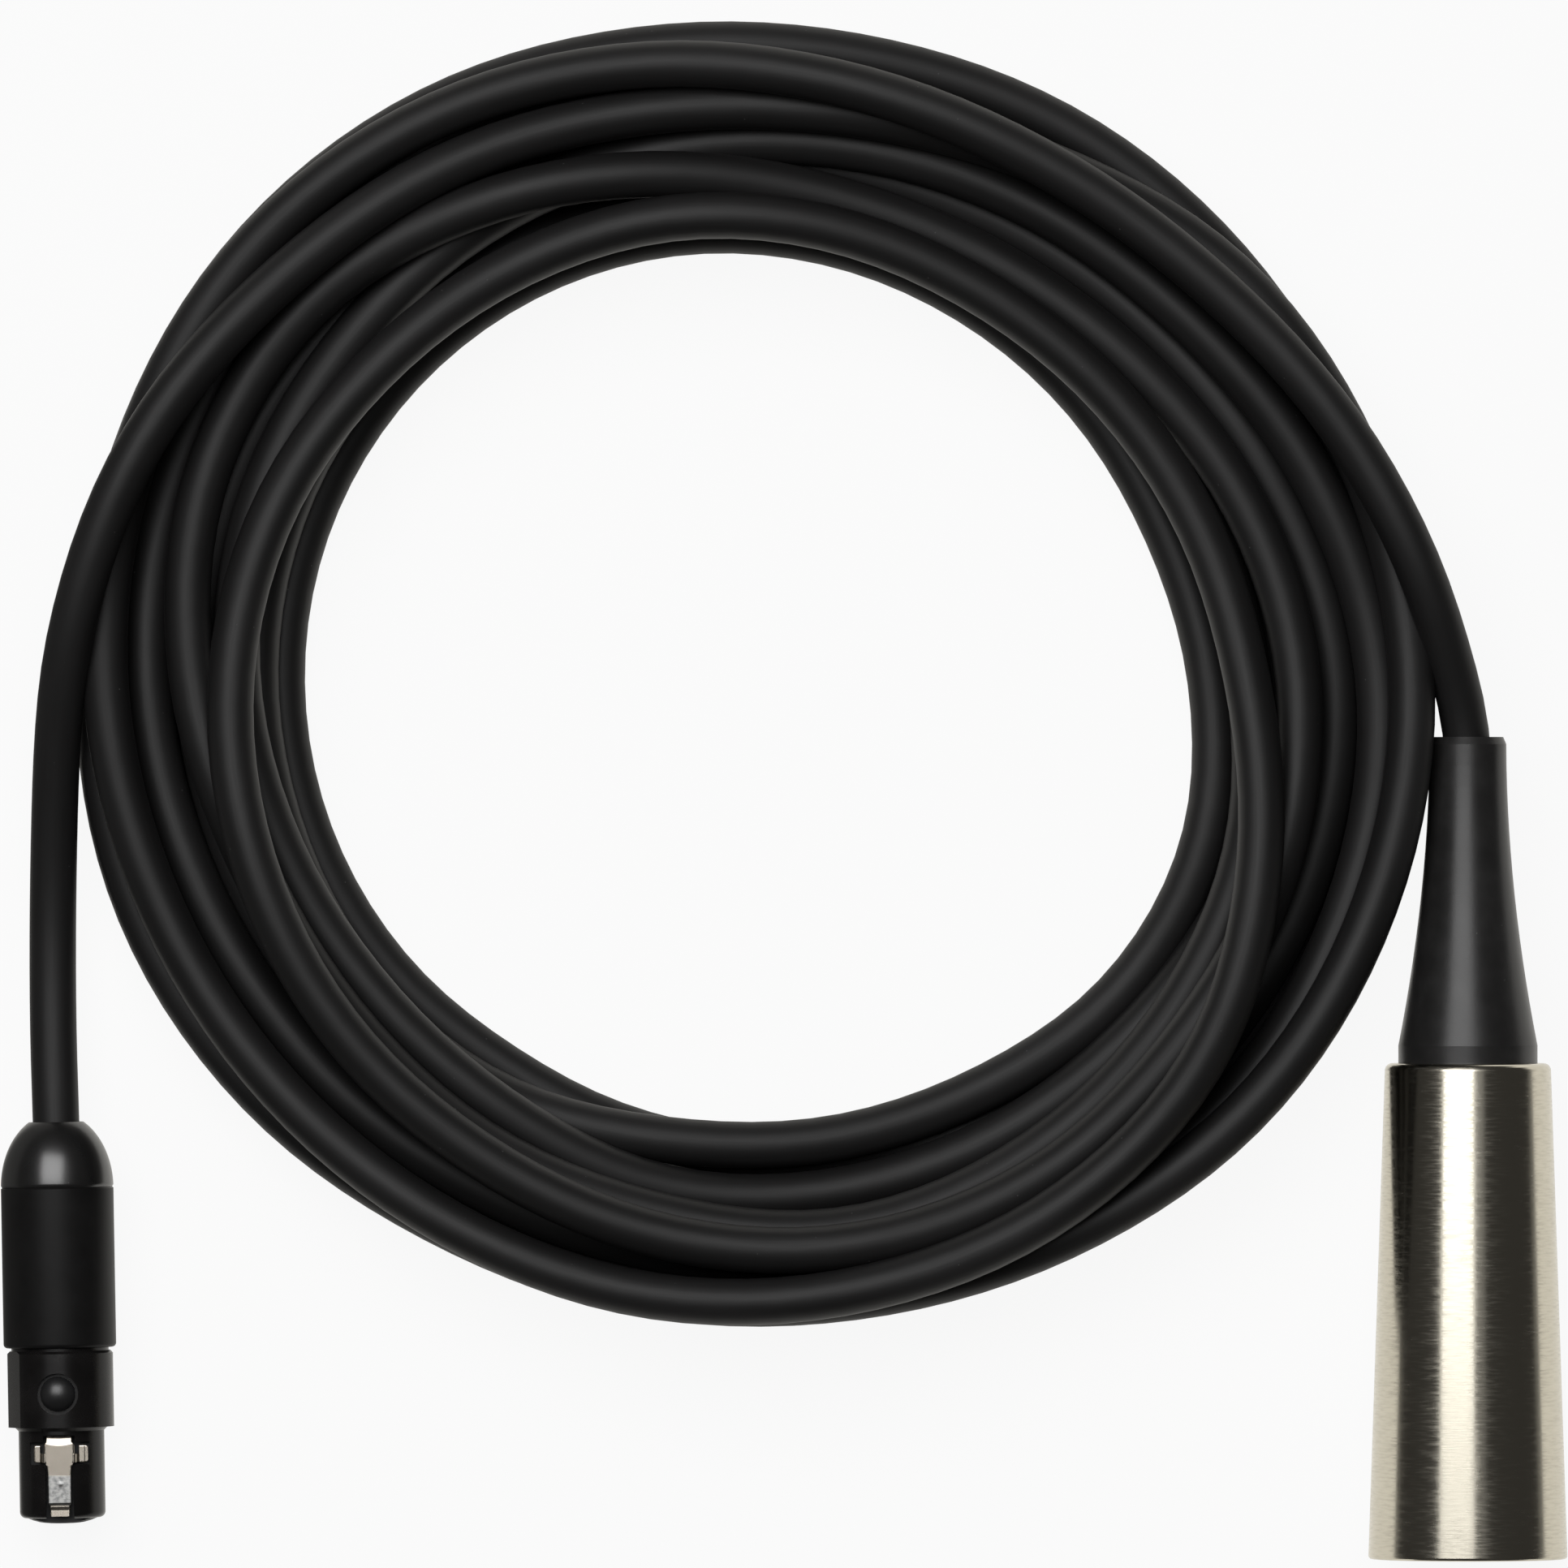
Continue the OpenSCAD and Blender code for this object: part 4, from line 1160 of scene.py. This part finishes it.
@dataclass
class SmallSocket:
    """The small latching socket: handle, body, button, latch and what is inside.

    The handle's size is its radius, length and bore, and its collar is the bore round the cord
    and the radius of the flat round it. hollow is how far past the dome its wide bore starts,
    and where its narrow bore ends. The button's size is its radius, the height that it stands
    to at its rim, and the rise of its top. Its foot is a row of distances from its axis and
    heights.
    """

    handle_size: tuple[float, float, float] = (5.43, 21.75, 4.75)
    handle_sides: int = 128
    collar: Pair = (2.3, 2.6)
    hollow: Pair = (0.3, 1.6)
    dome: float = 6.3
    dome_stretch: float = 1.143
    groove: float = 0.12
    lip: float = 0.4
    button_size: tuple[float, float, float] = (1.65, 4.5, 0.7)
    button_sides: int = 96
    button_place: float = 26.15
    button_foot: tuple[Pair, ...] = (
        (0.6, 3.35), (0.6, 3.5), (2.05, 3.5), (2.05, 3.8), (1.65, 3.8)
    )
    handle: HandleFinish = HandleFinish()
    body: MouldedFinish = MouldedFinish(
        "socket_body", (0.0085, 0.0078, 0.0077), gloss=0.26, depth=0.003, bend=1.35
    )
    button: MouldedFinish = MouldedFinish(
        "socket_button", (0.012, 0.012, 0.0125), gloss=0.34, depth=0.003, bend=1.65
    )
    latch: SpringLatch = field(default_factory=SpringLatch)
    insert: MouldedFinish = MouldedFinish(
        "socket_insert", (0.018, 0.018, 0.019), gloss=0.5
    )
    contact: BrushedFinish = BrushedFinish(
        "socket_contact", (0.9, 0.68, 0.3), line=0.05, reach=1.5, depth=0.0006, pits=0.08
    )
    clamp: BrushedFinish = BrushedFinish(
        "crimped_clamp", (0.7, 0.68, 0.62), Axis.X, line=0.1, reach=2.0, gloss=0.28
    )

    def handle_rings(self) -> np.ndarray:
        """The handle's rings: its side view, turned about the socket's own axis.

        The side view is a closed row of distances from the axis and places along it. Its dome
        is part of an ellipse, which a fine groove parts from the straight sleeve.
        """
        radius, length, bore = self.handle_size
        neck, flat = self.collar
        past, narrow_end = self.hollow
        share = np.linspace(0, math.pi / 2, 49)[1:]
        z = self.dome * (1 - np.cos(share))
        short = (self.dome - z) / (self.dome_stretch * self.dome)
        bow = radius * np.sqrt(1 - short**2)
        bow[-1] -= self.groove
        lip = np.linspace(0, math.pi / 2, 9)
        side = np.concatenate(
            (
                [(neck, 0.0), (flat, 0.0)],
                np.stack((bow, z), axis=-1),
                [(radius, self.dome + self.groove)],
                np.stack((np.cos(lip) - 1, np.sin(lip) - 1), axis=-1) * self.lip
                + (radius, length),
                [(bore, length), (bore, self.dome + past), (neck, narrow_end)],
            )
        )
        turn = np.arange(self.handle_sides)[:, None] * (2 * math.pi / self.handle_sides)
        r, z = side[:, 0], side[:, 1] + 0 * turn
        return np.stack((r * np.cos(turn), r * np.sin(turn), z), axis=-1)

    def button_rings(self) -> np.ndarray:
        """The button's rings: its side view, turned about the axis that it slides along.

        A small foot stands on the leaf, a flange keeps the button in, and the top of the shaft
        is part of a ball.
        """
        radius, seat, rise = self.button_size
        bow = (radius**2 + rise**2) / (2 * rise)
        share = np.linspace(1, 0.002, 33) * math.asin(radius / bow)
        ball = np.stack((bow * np.sin(share), seat + rise - bow * (1 - np.cos(share))))
        side = np.concatenate((self.button_foot, ball.T))
        turn = np.arange(self.button_sides) * (2 * math.pi / self.button_sides)
        r, y = side[:, :1], side[:, 1:] + 0 * turn
        z = self.button_place + r * np.cos(turn)
        return np.stack((r * np.sin(turn), y, z), axis=-1)

    def build(self) -> None:
        """Make the latch, handle and button, and give the other parts their finishes."""
        self.latch.build(self.body)
        rings = self.latch.placed(self.handle_rings())
        mesh = surface_mesh("handle", rings, joined=True)
        add_piece(mesh, self.handle, "cord_set", "black_socket", "mini_handle")
        mesh = surface_mesh("button", self.latch.placed(self.button_rings()))
        add_piece(mesh, self.button, "button", "black_button", "mini_button")
        parts = {
            "mini_handle": self.handle,
            "mini_body": self.body,
            "mini_button": self.button,
            "mini_latch": self.latch.finish,
            "mini_insert": self.insert,
            **{f"mini_contact_{number}": self.contact for number in (1, 2, 3)},
            "mini_cable_clamp": self.clamp,
        }
        dress_nodes(parts)


@dataclass
class Conductors:
    """The sleeved shield and the two insulated wires at either end of the cord."""

    colours: dict[str, Colour] = field(
        default_factory=lambda: {
            "shield": (0.012, 0.012, 0.013),
            "red": (0.36, 0.022, 0.016),
            "white": (0.68, 0.66, 0.6),
        }
    )

    def dress(self) -> None:
        """Give each wire the colour of its insulation."""
        for name, colour in self.colours.items():
            skin = MouldedFinish(f"wire_{name}", colour, gloss=0.36, depth=0.003)
            dress_nodes({f"{end}_wire_{name}": skin for end in ("xlr", "mini")})


def dress_nodes(parts: dict[str, Finish]) -> None:
    """Give parts of the frame their finishes.

    Args:
        parts: the finish of each part, by the part's name.
    """
    for name, finish in parts.items():
        finish.dress(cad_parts[name])
        log.info("%s: %s", name, finish.name)


@dataclass
class Studio:
    """A pale floor, a broad soft lamp a little to the left, a faint fill, and the camera.

    In reflections the floor isn't the white one that the camera sees. It is a pale sheet
    between the first numbers of sheet_left and sheet_right, and beyond their second ones it is
    darker by the share dimmed.
    """

    middle: Pair = (0.08, 0.47)
    view_width: float = 150.94
    camera_height: float = 2500.0
    subject_height: float = 9.0
    floor_half: float = 1500.0
    floor_colour: Colour = (0.84, 0.84, 0.84)
    floor_in_mirror: Colour = (0.93, 0.91, 0.86)
    sheet_left: Pair = (-74.0, -80.0)
    sheet_right: Pair = (150.0, 185.0)
    dimmed: float = 0.85
    sheet_share: float = 0.92
    ambient: float = 0.04
    lamp_height: float = 1200.0

    def floor(self) -> None:
        """Lay the floor: white with soft shadows to the camera, and a pale sheet in metal."""
        s = self.floor_half * MM
        mesh = bpy.data.meshes.new("floor")
        mesh.from_pydata(
            [(-s, -s, 0), (s, -s, 0), (s, s, 0), (-s, s, 0)], [], [(0, 1, 2, 3)]
        )
        floor = stand("floor", mesh)
        material = bpy.data.materials.new("floor")
        material.use_nodes = True
        graph = Graph(material.node_tree)
        lit = graph.node(
            "ShaderNodeBsdfDiffuse", {}, {"Color": (*self.floor_colour, 1)}
        )
        mirrored = graph.node("ShaderNodeLightPath", output="Is Glossy Ray")
        along = graph.place().part(Axis.X)
        past = along.over(*self.sheet_left) + along.over(*self.sheet_right)
        paper = graph.tint(past * self.dimmed, self.floor_in_mirror, (0.0, 0.0, 0.0))
        sheet = graph.tint(mirrored, (1.0, 1.0, 1.0), paper)
        white = graph.node("ShaderNodeEmission", {}, {"Color": sheet, "Strength": 1.0})
        share = self.seen(graph) * self.sheet_share
        mixed = graph.node("ShaderNodeMixShader", {}, {0: share, 1: lit, 2: white})
        graph.add("ShaderNodeOutputMaterial", {}, {"Surface": mixed})
        mesh.materials.append(material)

    def seen(self, graph: Graph) -> Wire:
        """One for a ray from the camera, a mirror or a clear part, and nought for others."""
        rays = [
            graph.node("ShaderNodeLightPath", output=name)
            for name in ("Is Camera Ray", "Is Glossy Ray", "Is Transmission Ray")
        ]
        return rays[0].most(rays[1]).most(rays[2])

    def world(self) -> None:
        """A dim room, white to the camera, and white in reflections only below the horizon."""
        world = bpy.data.worlds.new("studio")
        world.use_nodes = True
        bpy.context.scene.world = world
        graph = Graph(world.node_tree)
        rays = self.seen(graph)
        direct = graph.node("ShaderNodeLightPath", output="Is Camera Ray")
        way = graph.node("ShaderNodeTexCoord", output="Generated").part(Axis.Z)
        below = way.over(-0.02, -0.08)
        white = direct.most(rays * below)
        room = graph.node(
            "ShaderNodeBackground",
            {},
            {"Color": (1.0, 0.97, 0.93, 1.0), "Strength": self.ambient},
        )
        sheet = graph.node("ShaderNodeBackground", {}, {"Strength": 1.0})
        mixed = graph.node("ShaderNodeMixShader", {}, {0: white, 1: room, 2: sheet})
        graph.add("ShaderNodeOutputWorld", {}, {"Surface": mixed})

    def lamp(self, name: str, lean: Pair, size: Pair, glow: float) -> None:
        """Hang a square lamp that faces the object.

        Args:
            name: the lamp's name.
            lean: how far it leans from straight above towards X and Y, in degrees.
            size: its sides along X and Y, in millimetres.
            glow: how bright its face is, where one is white.
        """
        data = bpy.data.lights.new(name, "AREA")
        data.shape = "RECTANGLE"
        data.size, data.size_y = size[0] * MM, size[1] * MM
        data.energy = glow * math.pi * data.size * data.size_y
        lamp = stand(name, data)
        tilt_x, tilt_y = (math.radians(angle) for angle in lean)
        high = self.lamp_height * MM
        lamp.location = (high * math.tan(tilt_x), high * math.tan(tilt_y), high)
        lamp.rotation_euler = (-tilt_y, tilt_x, 0)
        lamp.visible_camera = False

    def camera(self) -> None:
        """Look straight down through a long lens."""
        data = bpy.data.cameras.new("camera")
        data.sensor_width = 36.0
        data.lens = 36.0 * self.camera_height / self.view_width
        data.clip_end = 10.0
        camera = stand("camera", data)
        high = self.camera_height + self.subject_height
        camera.location = (self.middle[0] * MM, self.middle[1] * MM, high * MM)
        bpy.context.scene.camera = camera

    def build(self) -> None:
        """Set the whole studio up."""
        bpy.context.scene.view_settings.view_transform = "Standard"
        self.camera()
        self.floor()
        self.world()
        self.lamp("softbox", (-12.0, 20.0), (1030.0, 900.0), 3.8)
        self.lamp("fill", (16.5, 20.0), (300.0, 900.0), 0.3)
        log.info("studio: camera %.0f mm up", self.camera_height)


def main() -> None:
    """Build the classes in order."""
    logging.basicConfig(level=logging.INFO, format="%(name)s: %(message)s")
    Studio().build()
    SmallSocket().build()
    CoiledCord().build()
    LargePlug().dress()
    Conductors().dress()


if __name__ == "__main__":
    main()
